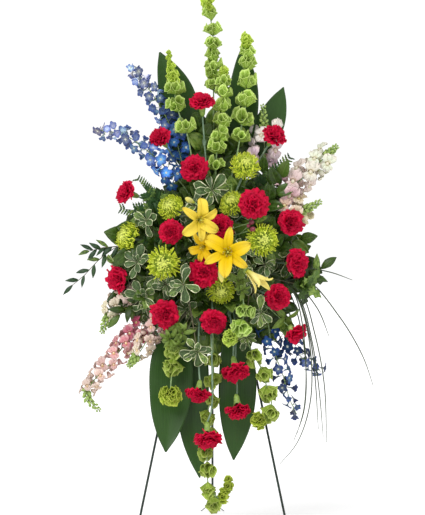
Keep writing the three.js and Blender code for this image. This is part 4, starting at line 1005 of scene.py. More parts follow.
def make_finishes(colours):
    """Every material of the spray, from the colours a user may change."""
    # The carnation's rim tone is a painted highlight; the other flowers' rims and tips are their own
    # colours.
    rims = {"carnation": colours.carnation_rim, "mum": colours.mum_tip, "lily": colours.lily_tip,
            "delphinium": colours.delphinium_rim, "snapdragon": colours.snapdragon_rim}
    for name, (claw, reach, start, amount, count, deep, spread, rough) in PETALS.items():
        finish(name, "petal", {
            "Claw": claw, "Rim": rims[name], "Claw reach": reach, "Rim start": start, "Rim amount": amount,
            "Streak count": count, "Streak depth": deep, "Spread": spread}, rough, 0.35, 0.3, 0.12)
    for name, (key, patch, vein, under, count, amount, width, spread, rough) in LEAVES.items():
        tone = getattr(colours, key)
        margin = colours.pittosporum_margin if name == "pittosporum" else tone
        finish(name, "leaf", {
            "Blade": tone, "Patch": scaled(tone, patch), "Margin": margin, "Young": colours.young_leaf,
            "Vein": vein if np.size(vein) == 3 else scaled(tone, vein), "Underside": scaled(tone, under),
            "Vein count": count, "Vein amount": amount, "Margin width": width, "Spread": spread,
        }, rough, 0.5, 0.5, 0.3)
    finish("aspidistra", "parallel", {
        "Dark": scaled(colours.aspidistra, 0.86), "Light": scaled(colours.aspidistra, 1.14),
    }, (0.3, 0.42), 0.25, 0.4, 0.3)
    # The bells' throat tone is painted shade inside each bell.
    finish("bells", "net", {
        "Shell": colours.bells, "Vein": colours.bells_vein, "Throat": scaled(colours.bells, 0.58),
    }, (0.45, 0.6), 0.6, 0.5, 0.2)
    for name, (light, dark, rough, scale) in PLAIN.items():
        plain_finish(name, light, dark, rough, scale)
    plain_finish("stem", scaled(colours.stem, 1.3), scaled(colours.stem, 0.7), (0.5, 0.65), 120)
    plain_finish("easel_paint", scaled(colours.easel, 1.5), scaled(colours.easel, 0.6), (0.35, 0.5), 45,
                 bump=0.25, depth=0.15, Specular_IOR_Level=0.3)
    plain_finish("foam", colours.foam, scaled(colours.foam, 0.5), (0.9, 1.0), 260, 0.9, 1500, 0.9, 0.8)
    plain_finish("tray", colours.tray, scaled(colours.tray, 0.7), (0.4, 0.55), 30, bump=0.15)


def hue(name, text, thing):
    """A colour that a user may change."""
    return FloatVectorProperty(name=name, description=f"Colour of {thing}", subtype="COLOR", size=3,
                               min=0, max=1, default=linear(text))


class SprayColours(bpy.types.PropertyGroup):
    """Colours of the flowers, the foliage and the stand"""

    carnation: hue("Carnation", "#bc0230", "the carnation petals")
    # The carnation rim colour is a painted highlight: a lighter, pinker tone on the petals' edges where
    # light catches the ruffles.
    carnation_rim: hue("Carnation rim", "#c81c48", "the edge of a carnation petal")
    mum: hue("Chrysanthemum", "#bfd02c", "the spider chrysanthemum rays")
    mum_tip: hue("Chrysanthemum tip", "#dbe15a", "the tips of the rays")
    mum_heart: hue("Chrysanthemum heart", "#e0ea92", "the rays in the middle")
    lily: hue("Lily", "#d8ba0a", "the lily tepals")
    lily_tip: hue("Lily tip", "#e8d458", "the tips of the tepals")
    lily_pale: hue("Pale lily", "#e8de96", "the half open lily and of the buds")
    bells: hue("Bells of Ireland", "#86a636", "the bells between their veins")
    bells_vein: hue("Bell veins", "#c6da84", "the net of veins on the bells")
    delphinium: hue("Delphinium", "#3566ae", "the delphinium sepals")
    delphinium_tip: hue("Delphinium tip", "#7c8fb6", "the flowers near a spike's tip")
    delphinium_rim: hue("Delphinium rim", "#2b3f86", "a sepal's edge")
    snapdragon_rim: hue("Snapdragon rim", "#e6d6cc", "a snapdragon petal's edge")
    dark_leaf: hue("Dark leaf", "#2d4311", "the broad dark leaves")
    bright_leaf: hue("Bright leaf", "#688030", "the small bright leaves")
    young_leaf: hue("Young leaf", "#6c8038", "the youngest leaves")
    pittosporum: hue("Pittosporum", "#4a6432", "a pittosporum leaf's middle")
    pittosporum_margin: hue("Pittosporum margin", "#dadcb4", "its margin")
    fern: hue("Fern", "#2b501f", "the fern leaflets")
    ruscus: hue("Ruscus", "#2c482c", "the ruscus leaves")
    grass: hue("Bear grass", "#38442f", "the bear grass")
    aspidistra: hue("Aspidistra", "#294916", "the broad strap leaves")
    stem: hue("Stem", "#86a06a", "the flower stems")
    easel: hue("Easel", "#15231c", "the easel's paint")
    foam: hue("Foam", "#3c6e40", "the floral foam")
    tray: hue("Tray", "#28512f", "the foam's tray")


class SpraySizes(bpy.types.PropertyGroup):
    """Counts and sizes that change how full the spray looks"""

    carnation_petals: IntProperty(name="Carnation petals", description="Petals in each carnation head",
                                  default=48, min=12, max=90)
    mum_rays: IntProperty(name="Chrysanthemum rays", description="Rays in each spider chrysanthemum",
                          default=380, min=40, max=400)
    bells_in_whorl: IntProperty(name="Bells in a whorl", description="Bells round the stem in each whorl",
                                default=7, min=3, max=10)
    fill_branches: IntProperty(name="Filling branches", description="Branches of foliage between the blooms",
                               default=165, min=0, max=240)
    floor_radius: FloatProperty(name="Floor radius", description="Radius of the floor disc",
                                subtype="DISTANCE", unit="LENGTH", default=40.0, min=2.0)
    seed: IntProperty(name="Seed", description="Seed of every random draw", default=7, min=0)


def draws(sizes, step):
    """The random draws of a step, always the same for the same seed."""
    return np.random.default_rng(sizes.seed + step)


# Flower shapes

PETAL_VARIANTS = 4
FAN = ((0, 0.3, 0.55, 0.8, 1), (0.07, 0.12, 0.46, 0.9, 1))
# Carnation petals from the middle out: angles along the petal, length and half width in head radii.
CARNATION_TIERS = (
    ((92, 88, 84, 80, 74), 0.98, 0.32),
    ((88, 80, 68, 58, 46), 1.06, 0.42),
    ((84, 72, 50, 30, 12), 1.04, 0.52),
    ((80, 60, 22, -6, -22), 1.06, 0.62),
)


def carnation_petals(rng):
    shapes = []
    for angles, length, half in CARNATION_TIERS:
        for _ in range(PETAL_VARIANTS):
            bend = np.array(angles) + rng.uniform(-11, 11) * np.linspace(0, 1, 5)
            shapes.append(blade(
                8, 5, FAN, bend, length * rng.uniform(0.84, 1.08), half * rng.uniform(0.75, 1.1), 0.016,
                cup=rng.uniform(-0.3, 0.5), ruffle=rng.uniform(0.08, 0.15), waves=rng.uniform(1.6, 3.0),
                phase=rng.uniform(0, 6.28), rounded=0.15, teeth=0.07, wave_power=2.0))
    return shapes


def make_carnations(colours, sizes):
    rng = draws(sizes, 0)
    for i, (at, facing, size) in enumerate(CARNATIONS):
        head = grown_copies(
            bpy.data.meshes.new("seed"), "spiral", "carnation", carnation_petals(rng),
            Count=sizes.carnation_petals, Tiers=len(CARNATION_TIERS), Variants=PETAL_VARIANTS,
            Disc_radius=0.12, Foot_height=-0.42, Jitter=0.17, Seed=sizes.seed + i)
        head.values["paint"] = np.tile(colours.carnation, (len(head.points), 1))
        name = f"carnation_{i + 1:02d}"
        piece(f"{name}_head", [head.moved(placed(seen(at), turn_to(facing, i), size))], name)


# Chrysanthemum rays from the middle out: angles along the ray and length in head radii.
RAY_TIERS = (
    ((90, 98, 128, 178), 0.38),
    ((81, 78, 108, 170), 0.54),
    ((68, 58, 86, 164), 0.68),
    ((52, 38, 66, 154), 0.80),
    ((37, 19, 46, 144), 0.89),
    ((23, 2, 27, 130), 0.93),
    ((9, -12, 8, 112), 0.94),
)
RAY = ((0, 0.4, 0.75, 0.92, 1), (0.5, 0.65, 0.9, 1, 0.6))


def mum_rays(rng, droop):
    shapes = []
    for tier, (angles, length) in enumerate(RAY_TIERS):
        hang = droop * 25 * max(0, tier - 2)
        for _ in range(PETAL_VARIANTS):
            bend = np.array(angles, float) - hang * np.array([0, 0.6, 1, 0.6]) + rng.uniform(-16, 16, 4)
            half = 0.029 + 0.002 * tier
            shapes.append(blade(1, 5, RAY, bend, length * rng.uniform(0.78, 1.1), half, 0.024))
    return shapes


def make_mums(colours, sizes):
    rng = draws(sizes, 1)
    for i, (at, facing, size, droop) in enumerate(MUMS):
        head = grown_copies(
            bpy.data.meshes.new("seed"), "spiral", "mum", mum_rays(rng, droop), Count=sizes.mum_rays,
            Tiers=len(RAY_TIERS), Variants=PETAL_VARIANTS, Disc_radius=0.24, Foot_height=-0.06,
            Rim_drop=0.24, Jitter=0.3, Seed=sizes.seed + 40 + i)
        reach = np.linalg.norm(head.points[:, :2], axis=1) / 0.9
        heart = np.clip(1.15 - 1.5 * reach, 0, 1)[:, None]
        rays = (1 - heart) * np.array(colours.mum)
        head.values["paint"] = heart * np.array(colours.mum_heart) + rays
        core = pod(0.62, 0.3, 12).worn("calyx")
        core = turned(core, pitch=90, at=(0, 0, -0.42))
        place = placed(seen(at), turn_to(facing, i), size)
        name = f"spider_mum_{i + 1:02d}"
        piece(f"{name}_head", [head.moved(place), core.moved(place)], name)


BROAD_TEPAL = ((0, 0.12, 0.3, 0.5, 0.7, 0.84, 0.94, 1), (0.26, 0.48, 0.82, 1, 0.98, 0.76, 0.42, 0.1))
NARROW_TEPAL = ((0, 0.15, 0.4, 0.62, 0.8, 0.92, 1), (0.33, 0.6, 0.9, 1, 0.8, 0.46, 0.1))
OPEN_TEPAL = (84, 68, 46, 24, 2, -24, -66)
SHUT_TEPAL = (87, 82, 78, 74, 62, 22)


def make_lilies(colours, sizes):
    rng = draws(sizes, 2)
    for name, at, facing, size, roll, is_open, green, pale in LILIES:
        parts = []
        paint = np.array(colours.lily) * (1, green, 1) * (1 - pale)
        paint = paint + pale * np.array(colours.lily_pale)
        for k in range(6):
            broad = k % 2 == 0
            angles = np.array(OPEN_TEPAL if is_open else SHUT_TEPAL, float)
            angles = angles + rng.uniform(-28, 22) * np.linspace(0, 1, len(angles))
            half = (0.265 if broad else 0.18) * (1 if is_open else 0.66)
            tepal = blade(10, 16, BROAD_TEPAL if broad else NARROW_TEPAL, angles,
                          (1.36 if is_open else 1.55) * rng.uniform(0.93, 1.05), half, 0.022, cup=0.2,
                          ruffle=0.024, waves=rng.uniform(2, 3.4), phase=rng.uniform(0, 6), keel=0.3,
                          frill=rng.uniform(0.12, 0.26))
            tepal = turned(tepal, yaw=60 * k + rng.uniform(-6, 6), roll=rng.uniform(-13, 13),
                           at=(0, 0, -0.56 - 0.01 * (k % 2)))
            parts.append(tepal.worn("lily", rng.uniform(0.2, 0.8), paint))
        for k in range(6):
            yaw = 60 * k + 25
            angles = np.array([84, 74, 60]) + rng.uniform(-6, 6)
            rod = turned(bent_rod(angles, 0.5, (0.016, 0.01), 6, 6), yaw=yaw, at=(0, 0, -0.5))
            parts.append(rod.worn("filament"))
            x, z, _ = spine(angles, 0.5, np.array([1.0]))
            spot = Matrix.Rotation(math.radians(yaw), 3, "Z") @ Vector((x[0], 0, z[0] - 0.5))
            anther = turned(pod(0.11, 0.02, 6), yaw=yaw + 90, at=spot - Vector((0, 0, 0.01)))
            parts.append(anther.worn("anther"))
        style = turned(bent_rod((90, 90), 0.62, (0.02, 0.018, 0.034), 6, 6), at=(0, 0, -0.5))
        parts.append(style.worn("filament"))
        tube = lathe(((-0.06, 0.055), (0.1, 0.1), (0.24, 0.16)), 12, 0.02)
        parts.append(turned(tube, pitch=90, at=(0, 0, -0.57)).worn("calyx"))
        place = placed(seen(at), turn_to(facing, roll), size)
        piece(f"{name}_bloom", [part.moved(place) for part in parts], name)


def make_lily_stems(colours, sizes):
    lines, parts = [], []
    for _, at, facing, size, *_ in LILIES:
        toward = unit(facing)
        neck = seen(at) - toward * 0.62 * size
        lines.append((smooth_path(rooted("lilies", [neck - 26 * toward, neck]), 14), (2.8, 2.4, 3.2)))
    for at, facing, length in LILY_BUDS:
        toward = unit(facing)
        below, base, inside = (seen(at) + toward * (share - 0.5) * length for share in (-0.25, 0, 0.04))
        lines.append((smooth_path(rooted("lilies", [below, inside]), 14), (2.2, 1.8, 2.2)))
        bud = pod(length, 7.4, 12, (0.35, 0.62, 0.85, 1.0, 0.98, 0.8, 0.45))
        ribs = 1 + 0.09 * np.cos(3 * np.arctan2(bud.points[:, 2], bud.points[:, 1]))[:, None]
        bud.points[:, 1:] *= ribs
        turn = Matrix(frames(toward, UP + 0.1 * FRONT).tolist())
        paint = 0.6 * np.array(colours.lily_pale) + 0.4 * np.array(colours.bells)
        parts.append(bud.worn("lily", 0.6, paint).moved(placed(base, turn, 1)))
    rng = draws(sizes, 3)
    shape = blade(6, 9, SLIM_LEAF, (12, 0, -16, -26), 1, 0.12, 0.02, cup=0.2)
    at, ahead = along_path(lines[1][0], np.linspace(0.25, 0.8, 9))
    yaw = np.arange(9) * GOLDEN
    side = unit(np.cross(ahead, UP))
    out = side * np.cos(yaw)[:, None] + np.cross(ahead, side) * np.sin(yaw)[:, None]
    leaves = copies([shape], at, frames(out + 0.5 * ahead, ahead), rng.uniform(46, 62, 9), "salal")
    piece("lily_stems_and_buds", [stems(lines, "stem"), leaves, *parts], "lily_stems")


STEM_RADIUS = 2.4
HANGING = {
    15: ((170, 90, 640), (225, 110, 590)),
    16: ((52, 128, 600), (64, 160, 500)),
    17: ((-30, 130, 590), (-33, 190, 440)),
    18: ((64, 112, 600), (70, 138, 450), (74, 155, 375)),
    19: ((0, 120, 600), (2, 186, 520), (1, 206, 320)),
}


def bloom_stem(at, facing, size, via, has_calyx):
    """A bloom's stem from the foam to the back of its head, and where the calyx begins."""
    head, toward = seen(at), unit(facing)
    seat = 0.42 * size
    length = 0.62 * size if has_calyx else 0
    neck = head - toward * (seat + length)
    across, forward, _ = ROOT["blooms"]
    rise = float(np.clip(0.35 * (head[2] - FOAM["middle"]), -38, 38))
    start = in_foam((across, forward, rise))
    bend = neck - 40 * unit(toward + unit(neck - start))
    path = [bend] if via is None else list(seen(via))
    return smooth_path([start, *path, neck, head - toward * (seat - 1)], 18), neck, toward


def make_bloom_stems():
    lines, cups, turns, scales = [], [], [], []
    for i, (at, facing, size) in enumerate(CARNATIONS):
        line, neck, toward = bloom_stem(at, facing, size, HANGING.get(i), True)
        lines.append((line, STEM_RADIUS))
        cups.append(neck)
        turns.append(frames(toward, UP + 0.2 * FRONT))
        scales.append(0.62 * size)
    for at, facing, size, _ in MUMS:
        line, _, _ = bloom_stem(at, facing, size, None, False)
        lines.append((line, (2.6, 2.6, 3.4)))
    profile = ((-0.08, 0.1), (0.0, 0.17), (0.22, 0.27), (0.6, 0.31), (0.9, 0.34), (1.05, 0.42))
    cup = lathe(profile, 15, 0.05, lobes=5, lobe=0.22)
    nodes = [along_path(line, [0.45, 0.7]) for line, _ in lines[:len(CARNATIONS)]]
    nodes_at, ahead = map(np.concatenate, zip(*nodes))
    node_turns = frames(ahead, UP + 0.3 * FRONT)
    swelling = pod(9, 3.5, 8, (0.75, 1, 0.8))
    bract = blade(2, 5, SLIM_LEAF, (50, 30, 10), 24, 2.2, 0.7, cup=0.4)
    pair = joined([bract, turned(bract, roll=180)])
    same_size = np.ones(len(nodes_at))
    piece("bloom_stems_and_calyxes", [
        stems(lines, "bloom_stem"), copies([cup], cups, turns, scales, "calyx"),
        copies([swelling], nodes_at, node_turns, same_size, "bloom_stem"),
        copies([pair], nodes_at, node_turns, same_size, "bloom_stem"),
    ], "bloom_stems")


# Whorled stems and spikes


def round_stem(ahead, angles):
    """Directions out from a stem at angles about it."""
    side = unit(np.cross(ahead, FRONT))
    up = np.cross(side, ahead)
    return side * np.cos(angles)[:, None] + up * np.sin(angles)[:, None]


def bell_shapes(rng):
    shapes = []
    for _ in range(8):
        profile = ((0, 2.0), (6, 5.2), (13, 7.6), (20, 9.4), (26, 11.2), (30, 13.6))
        bell = lathe(profile, 11, 0.8, lobes=5, lobe=rng.uniform(0.05, 0.12), lean=rng.uniform(0.1, 0.35))
        angle = np.arctan2(bell.points[:, 2], bell.points[:, 1])
        crimp = 1 + 0.1 * bell.values["along"] ** 2 * np.sin(4 * angle + rng.uniform(0, 6))
        bell.points[:, 1:] *= crimp[:, None]
        bell.points[:, 1] *= rng.uniform(0.85, 1.0)
        shapes.append(bell)
    return shapes


TIP_WHORL = 0.8
CLUSTER_WHORL = 1.22


def bell_whorls(path):
    """Whorls of a stem with their sizes, and smaller ones between them where the tip closes up."""
    rows = [np.array(path[0], float)]
    for before, after in zip(path, path[1:]):
        if after[3] > 0 and before[3] > 0 and after[3] <= TIP_WHORL:
            middle = (np.array(before, float) + np.array(after)) / 2
            middle[3] = 0.9 * after[3]
            rows.append(middle)
        rows.append(np.array(after, float))
    return np.array(rows)


def bell_stems(count, name, stalks, rng, tone, scale):
    lines, places, turns, scales, paints = [], [], [], [], []
    tone, tip_tone = np.array(tone), np.array((1.12, 1.08, 0.62))
    for path in stalks:
        rows = bell_whorls(path)
        whole = seen(rows[:, :3])
        is_curl = rows[0][1] > 198
        lines.append((smooth_path(whole if is_curl else rooted(name, whole), 30), (2.6, 1.6)))
        ahead = unit(np.gradient(whole, axis=0))
        for k, size in enumerate(rows[:, 3]):
            if size == 0:
                continue
            is_cluster = size > CLUSTER_WHORL
            number = 2 * count + 4 if is_cluster else count if size > 0.6 else count - 2
            angles = 2 * np.pi * (np.arange(number) + 0.5 * (k % 2)) / number
            angles = GOLDEN * np.arange(number) if is_cluster else angles + rng.uniform(-0.2, 0.2, number)
            way = np.tile(ahead[k], (number, 1))
            out = round_stem(way, angles)
            tilt = rng.uniform(26, 58, number) + 26 * k / len(rows)
            if is_cluster:
                tilt = 12 + 66 * (np.arange(number) / number)
            tilt = np.radians(tilt)[:, None]
            axis = out * np.cos(tilt) + way * np.sin(tilt)
            low, high = (-14, -7) if k == len(rows) - 1 else (-6, 6)
            places.append(whole[k] + out * 1.5 + way * rng.uniform(low, high, (number, 1)))
            turns.append(frames(axis, way))
            scales.append(size * (0.58 if is_cluster else scale) * rng.uniform(0.78, 1.12, number))
            shade = tip_tone if size <= TIP_WHORL or is_cluster else np.ones(3)
            # The stem's tone, painted shade on the lower stems, darkens every bell on it.
            paints.append(np.tile(tone * shade, (number, 1)))
    places, turns, scales, paints = map(np.concatenate, (places, turns, scales, paints))
    shapes = bell_shapes(rng)
    picks, tints = rng.integers(0, len(shapes), len(places)), rng.uniform(0, 1, len(places))
    parts = [stems(lines, "stem"), copies(shapes, places, turns, scales, "bells", picks, tints, paints)]
    lip = blade(4, 4, ((0, 0.5, 0.8, 1), (0.5, 1, 0.9, 0.4)), (20, 0, -30), 7, 3, 0.6, cup=0.3)
    under_lip = turned(lip, pitch=-30, roll=180, at=(4, 0, -1))
    nutlet = joined([turned(lip, pitch=24, at=(4, 0, 1)), under_lip])
    flowering = (rng.uniform(0, 1, len(places)) < 0.3) & (scales > 0.85)
    if flowering.any():
        parts.append(copies([nutlet], places[flowering], turns[flowering], scales[flowering], "pale_petal"))
    piece(f"{name}_stems", parts, name)


def make_bells(sizes):
    rng = draws(sizes, 4)
    for name, more, tone, scale, stalks in BELLS:
        bell_stems(sizes.bells_in_whorl + more, name, stalks, rng, tone, scale)


SEPAL = ((0, 0.2, 0.5, 0.8, 1), (0.25, 0.65, 1, 0.85, 0.3))


def delphinium_shapes(rng):
    """Open flowers of five sepals and a spur, and the pale petals in their middle."""
    flowers = []
    for variant in range(6):
        close = 0 if variant < 4 else 34
        sepals = []
        for k in range(5):
            angles = np.array([46, 24, rng.uniform(-8, 18), rng.uniform(-24, 8)]) + close
            sepal = blade(3, 4, SEPAL, angles, 19 * rng.uniform(0.82, 1.08), 7.4 * rng.uniform(0.8, 1.05),
                          0.7, cup=rng.uniform(-0.1, 0.5), ruffle=0.05, phase=rng.uniform(0, 6))
            sepals.append(turned(sepal, yaw=72 * k + rng.uniform(-11, 11)))
        spur = turned(bent_rod((0, -8, -22), 15, (2.6, 1.5, 0.8), 5, 5), pitch=-80)
        flowers.append(turned(joined([*sepals, spur]), pitch=-90))
    bee = [turned(blade(1, 2, SEPAL, (70, 60, 40), 6, 2.0, 0.6), yaw=90 * k + 20) for k in range(4)]
    return flowers, [turned(joined(bee), pitch=-90)]


def spike_places(path, tiers, start, number, rng, reach):
    """Flower places round a spike: where they sit, which way they look, and how far along the spike."""
    count = int(tiers * number)
    shares = start + (1 - start) * (np.arange(count) + 0.5) / count
    at, ahead = along_path(seen(path), shares)
    angles = np.arange(len(shares)) * GOLDEN + rng.uniform(-0.2, 0.2, len(shares))
    out = round_stem(ahead, angles)
    ripe = 1 - (shares - start) / (1 - start)
    far = reach * (0.45 + 0.55 * ripe)[:, None] * rng.uniform(0.85, 1.15, (len(shares), 1))
    return at, ahead, out, ripe, far


def make_delphinium(colours, sizes):
    rng = draws(sizes, 5)
    deep, pale = np.array(colours.delphinium), np.array(colours.delphinium_tip)
    for name, number, large, tone, spikes in DELPHINIUM:
        lines, places, turns, scales, paints, picks = ([] for _ in range(6))
        for path, tiers, start in spikes:
            lines.append((smooth_path(rooted(name, seen(path)), 26), (2.4, 1.0)))
            at, ahead, out, ripe, far = spike_places(path, tiers, start, number, rng, 23)
            place = at + out * far + ahead * 0.3 * far
            nodding = np.clip(1.2 - 3 * ripe, 0, 1)[:, None]
            look = out + 0.2 * ahead + 0.4 * FRONT - 1.1 * nodding * UP
            look = unit(look + rng.uniform(-0.5, 0.5, out.shape))
            for foot, bend, tip in zip(at - 4 * ahead, at + 0.5 * far * out, place):
                lines.append((smooth_path([foot, bend, tip], 5), 0.8))
            count = len(place)
            half_shut = rng.uniform(0, 1, count) > 0.1 + 1.2 * ripe
            picks.append(np.where(half_shut, rng.integers(4, 6, count), rng.integers(0, 4, count)))
            places.append(place)
            turns.append(frames(look, ahead))
            scales.append((0.98 + 0.18 * ripe) * large * rng.uniform(0.88, 1.1, count))
            blend = np.clip(1.3 * ripe - 0.1, 0, 1)[:, None]
            paints.append(blend * deep + (1 - blend) * pale)
        flowers, bees = delphinium_shapes(rng)
        places, turns, scales, paints, picks = map(np.concatenate, (places, turns, scales, paints, picks))
        violet = rng.uniform(-0.3, 1, (len(paints), 1)) * (0.16, -0.1, -0.04)
        paints = paints * rng.uniform(0.5, 1.3, (len(paints), 1)) * (1 + violet) * tone
        is_open, tints = picks < 4, rng.uniform(0, 1, len(places))
        piece(f"{name}_spikes", [
            stems(lines, "stem", sides=5),
            copies(flowers, places, turns, scales, "delphinium", picks, tints, paints),
            copies(bees, places[is_open], turns[is_open], scales[is_open], "pale_petal"),
        ], name)


SPIKE_BUDS = 24
LOBE = ((0, 0.25, 0.6, 0.85, 1), (0.35, 0.75, 1, 0.85, 0.4))


def snapdragon_shapes(rng):
    """Two-lipped flowers along +X: a tube, two raised lobes, three hanging ones; and their palates."""
    flowers = []
    for _ in range(6):
        lobes = [lathe(((0, 3.4), (7, 6.0), (16, 7.6)), 7, 0.8)]
        for side in (-1, 1):
            lobe = blade(4, 3, LOBE, (58, 76, 96, 124), 20 * rng.uniform(0.85, 1.15), 11, 0.8, cup=-0.25,
                         ruffle=0.09, waves=1.6, phase=rng.uniform(0, 6))
            lobes.append(turned(lobe, roll=side * rng.uniform(20, 32), at=(13.5, 0, 3)))
        for side in (-1, 0, 1):
            lobe = blade(3, 3, LOBE, (54, 76, 104, 136), 16 * rng.uniform(0.85, 1.15), 8.2, 0.8, cup=-0.3,
                         ruffle=0.09, waves=1.6, phase=rng.uniform(0, 6))
            lobes.append(turned(lobe, roll=180 + side * rng.uniform(40, 52), at=(13.5, 0, -2)))
        flowers.append(joined(lobes))
    palate = turned(pod(9, 4.2, 6, (0.7, 1, 0.9, 0.5)), pitch=60, at=(12, 0, -4))
    return flowers, [palate]


def make_snapdragons(sizes):
    rng = draws(sizes, 6)
    for name, number, reach, least, most, spikes in SNAPDRAGONS:
        lines, places, turns, scales, paints, lips, buds = ([] for _ in range(7))
        for path, tiers, start, tones, in_bud in spikes:
            low, high, lip = (np.array(linear(tone)) for tone in tones)
            lines.append((smooth_path(rooted(name, seen(path)), 26), (2.6, 1.2)))
            at, ahead, out, ripe, far = spike_places(path, tiers, start, number, rng, reach)
            look = unit(out + 0.2 * ahead + 0.4 * FRONT + rng.uniform(-0.4, 0.4, out.shape))
            is_open = ripe > in_bud
            size = (least + (most - least) * ripe) * rng.uniform(0.84, 1.16, len(at))
            places.append((at + out * far)[is_open])
            turns.append(frames(look[is_open], UP + 0.4 * ahead[is_open]))
            scales.append(size[is_open])
            blend = np.clip(1.6 * (ripe[is_open] - 0.35), 0, 1)[:, None]
            paints.append(blend * low + (1 - blend) * high)
            lips.append(np.tile(lip, (is_open.sum(), 1)))
            shares = np.linspace(start + (1 - start) * (0.95 - in_bud), 0.995, SPIKE_BUDS)
            bud_at, bud_ahead = along_path(seen(path), shares)
            bud_out = round_stem(bud_ahead, np.arange(SPIKE_BUDS) * GOLDEN)
            buds.append((bud_at + bud_out * 3.2, frames(unit(bud_out + 1.1 * bud_ahead), bud_ahead),
                         np.linspace(1.4, 0.6, SPIKE_BUDS)))
        flowers, palates = snapdragon_shapes(rng)
        places, turns, scales, paints, lips = map(np.concatenate, (places, turns, scales, paints, lips))
        sepal = blade(2, 3, SLIM_LEAF, (30, 14, 4), 7, 2.2, 0.6, cup=0.3)
        sepals = [turned(sepal, roll=72 * k, at=(-1, 0, 0)) for k in range(5)]
        bud_places, bud_turns, bud_sizes = map(np.concatenate, zip(*buds))
        piece(f"{name}_spikes", [
            stems(lines, "stem"),
            copies(flowers, places, turns, scales, "snapdragon", paints=paints),
            copies(palates, places, turns, scales, "snapdragon", paints=lips),
            copies([joined(sepals)], places, turns, scales, "bud"),
            copies([pod(13, 4.4, 8)], bud_places, bud_turns, bud_sizes, "bud"),
        ], name)


# Leaves

SPOON_LEAF = ((0, 0.2, 0.45, 0.68, 0.84, 0.95, 1), (0.1, 0.3, 0.74, 1, 0.9, 0.56, 0.14))
OVAL_LEAF = ((0, 0.1, 0.3, 0.55, 0.78, 0.92, 1), (0.08, 0.45, 0.96, 1, 0.66, 0.28, 0.04))
SLIM_LEAF = ((0, 0.15, 0.4, 0.65, 0.85, 1), (0.1, 0.55, 1, 0.85, 0.4, 0.04))
CUT_LEAF = ((0, 0.14, 0.28, 0.42, 0.56, 0.7, 0.84, 1), (0.3, 1.1, 0.5, 1.0, 0.4, 0.75, 0.25, 0.06))
# Each kind of leaf: finish, outline, half width and thickness in lengths, and faces across and along.
LEAF_KINDS = {
    "oval": ("salal", OVAL_LEAF, 0.3, 0.014, 4, 7), "slim": ("salal", SLIM_LEAF, 0.2, 0.014, 2, 7),
    "broad": ("salal", OVAL_LEAF, 0.34, 0.012, 4, 7), "cut": ("salal", CUT_LEAF, 0.34, 0.016, 4, 14),
    "ruscus": ("ruscus", SLIM_LEAF, 0.16, 0.014, 2, 7), "pinna": ("fern", CUT_LEAF, 0.2, 0.024, 2, 7),
    "spoon": ("pittosporum", SPOON_LEAF, 0.24, 0.016, 4, 6),
    "bright": ("bright_leaf", SLIM_LEAF, 0.2, 0.016, 2, 6),
}
LEAF_VARIANTS = 6


def leaf_shapes(kind, rng):
    """Leaves one unit long, each a little different."""
    _, outline, half, thick, across, along = LEAF_KINDS[kind]
    shapes = []
    for _ in range(LEAF_VARIANTS):
        angles = np.array([16, 6, -10, -26]) * rng.uniform(0.2, 1.8)
        shapes.append(blade(across, along, outline, angles, 1, half * rng.uniform(0.9, 1.1), thick,
                            cup=rng.uniform(0.1, 0.32), ruffle=rng.uniform(0.006, 0.02),
                            waves=rng.uniform(2, 4), phase=rng.uniform(0, 6), keel=0.1))
    return shapes


# Places and sizes of the blooms' faces, which leaves keep clear of.
FACES = np.array([seen(bloom[0]) for bloom in CARNATIONS + MUMS] + [seen(bloom[1]) for bloom in LILIES])
FACE_SIZES = np.array([bloom[2] for bloom in CARNATIONS + MUMS] + [bloom[3] for bloom in LILIES])


def covers_bloom(point):
    """Whether a point lies before a bloom's face as the camera sees it."""
    away = np.hypot(FACES[:, 0] - point[0], FACES[:, 2] - point[2])
    return bool(((away < 0.86 * FACE_SIZES) & (point[1] < FACES[:, 1] + 0.2 * FACE_SIZES)).any())


class Foliage:
    """Leaves gathered by kind, each with its place, direction, face and length, then made in one go."""

    def __init__(self):
        self.leaves = {}
        self.lines = []

    def twig(self, path, steps, thickness):
        self.lines.append((smooth_path(path, steps), thickness))

    def add(self, kind, place, ahead, face, length):
        if not any(covers_bloom(place + share * length * unit(ahead)) for share in (0.5, 0.95)):
            self.leaves.setdefault(kind, []).append((place, ahead, face, length))

    def parts(self, rng):
        made = []
        for kind, rows in self.leaves.items():
            place, ahead, face, length = (np.array(column, float) for column in zip(*rows))
            made.append(copies(
                leaf_shapes(kind, rng), place, frames(ahead, face), length, LEAF_KINDS[kind][0],
                picks=rng.integers(0, LEAF_VARIANTS, len(place)), tints=rng.uniform(0, 1, len(place))))
        return [*made, stems(self.lines, "twig", sides=6)]


STRAP_LEAF = ((0, 0.14, 0.32, 0.52, 0.72, 0.88, 1), (0.06, 0.5, 0.9, 1, 0.84, 0.48, 0.03))
STRAP_ROWS, STRAP_COLUMNS = 41, 17


def make_aspidistra(sizes):
    rng = draws(sizes, 7)
    fine = np.linspace(0, 1, STRAP_ROWS)
    wide = smooth_path([(share * 100, half * 30, 0) for share, half in zip(*STRAP_LEAF)], 200)
    for name, leaves in ASPIDISTRA.items():
        parts, lines = [], []
        for path, half_width in leaves:
            at, ahead = along_path(seen(path), fine)
            turn = frames(ahead, FRONT)
            half = np.interp(fine * 100, wide[:, 0], wide[:, 1]) / 30 * half_width
            u = np.linspace(-1, 1, STRAP_COLUMNS)
            phase = rng.uniform(0, 6)
            lift = 0.12 * half[:, None] * np.abs(u) ** 1.4
            lift = lift + 1.6 * np.sin(9 * fine[:, None] + phase) * u[None, :] ** 2
            points = (at[:, None, :] + turn[:, None, :, 1] * (half[:, None] * u)[..., None]
                      + turn[:, None, :, 2] * lift[..., None])
            along, across = np.meshgrid(fine, u, indexing="ij")
            parts.append(shell(points, 1.0, along, across).worn("aspidistra", rng.uniform(0, 1)))
            lines.append((smooth_path(rooted(name, [at[0], at[4]]), 12), (2.6, 2.2, 1.2)))
        piece(f"{name}_leaves", [*parts, stems(lines, "stem")], name)


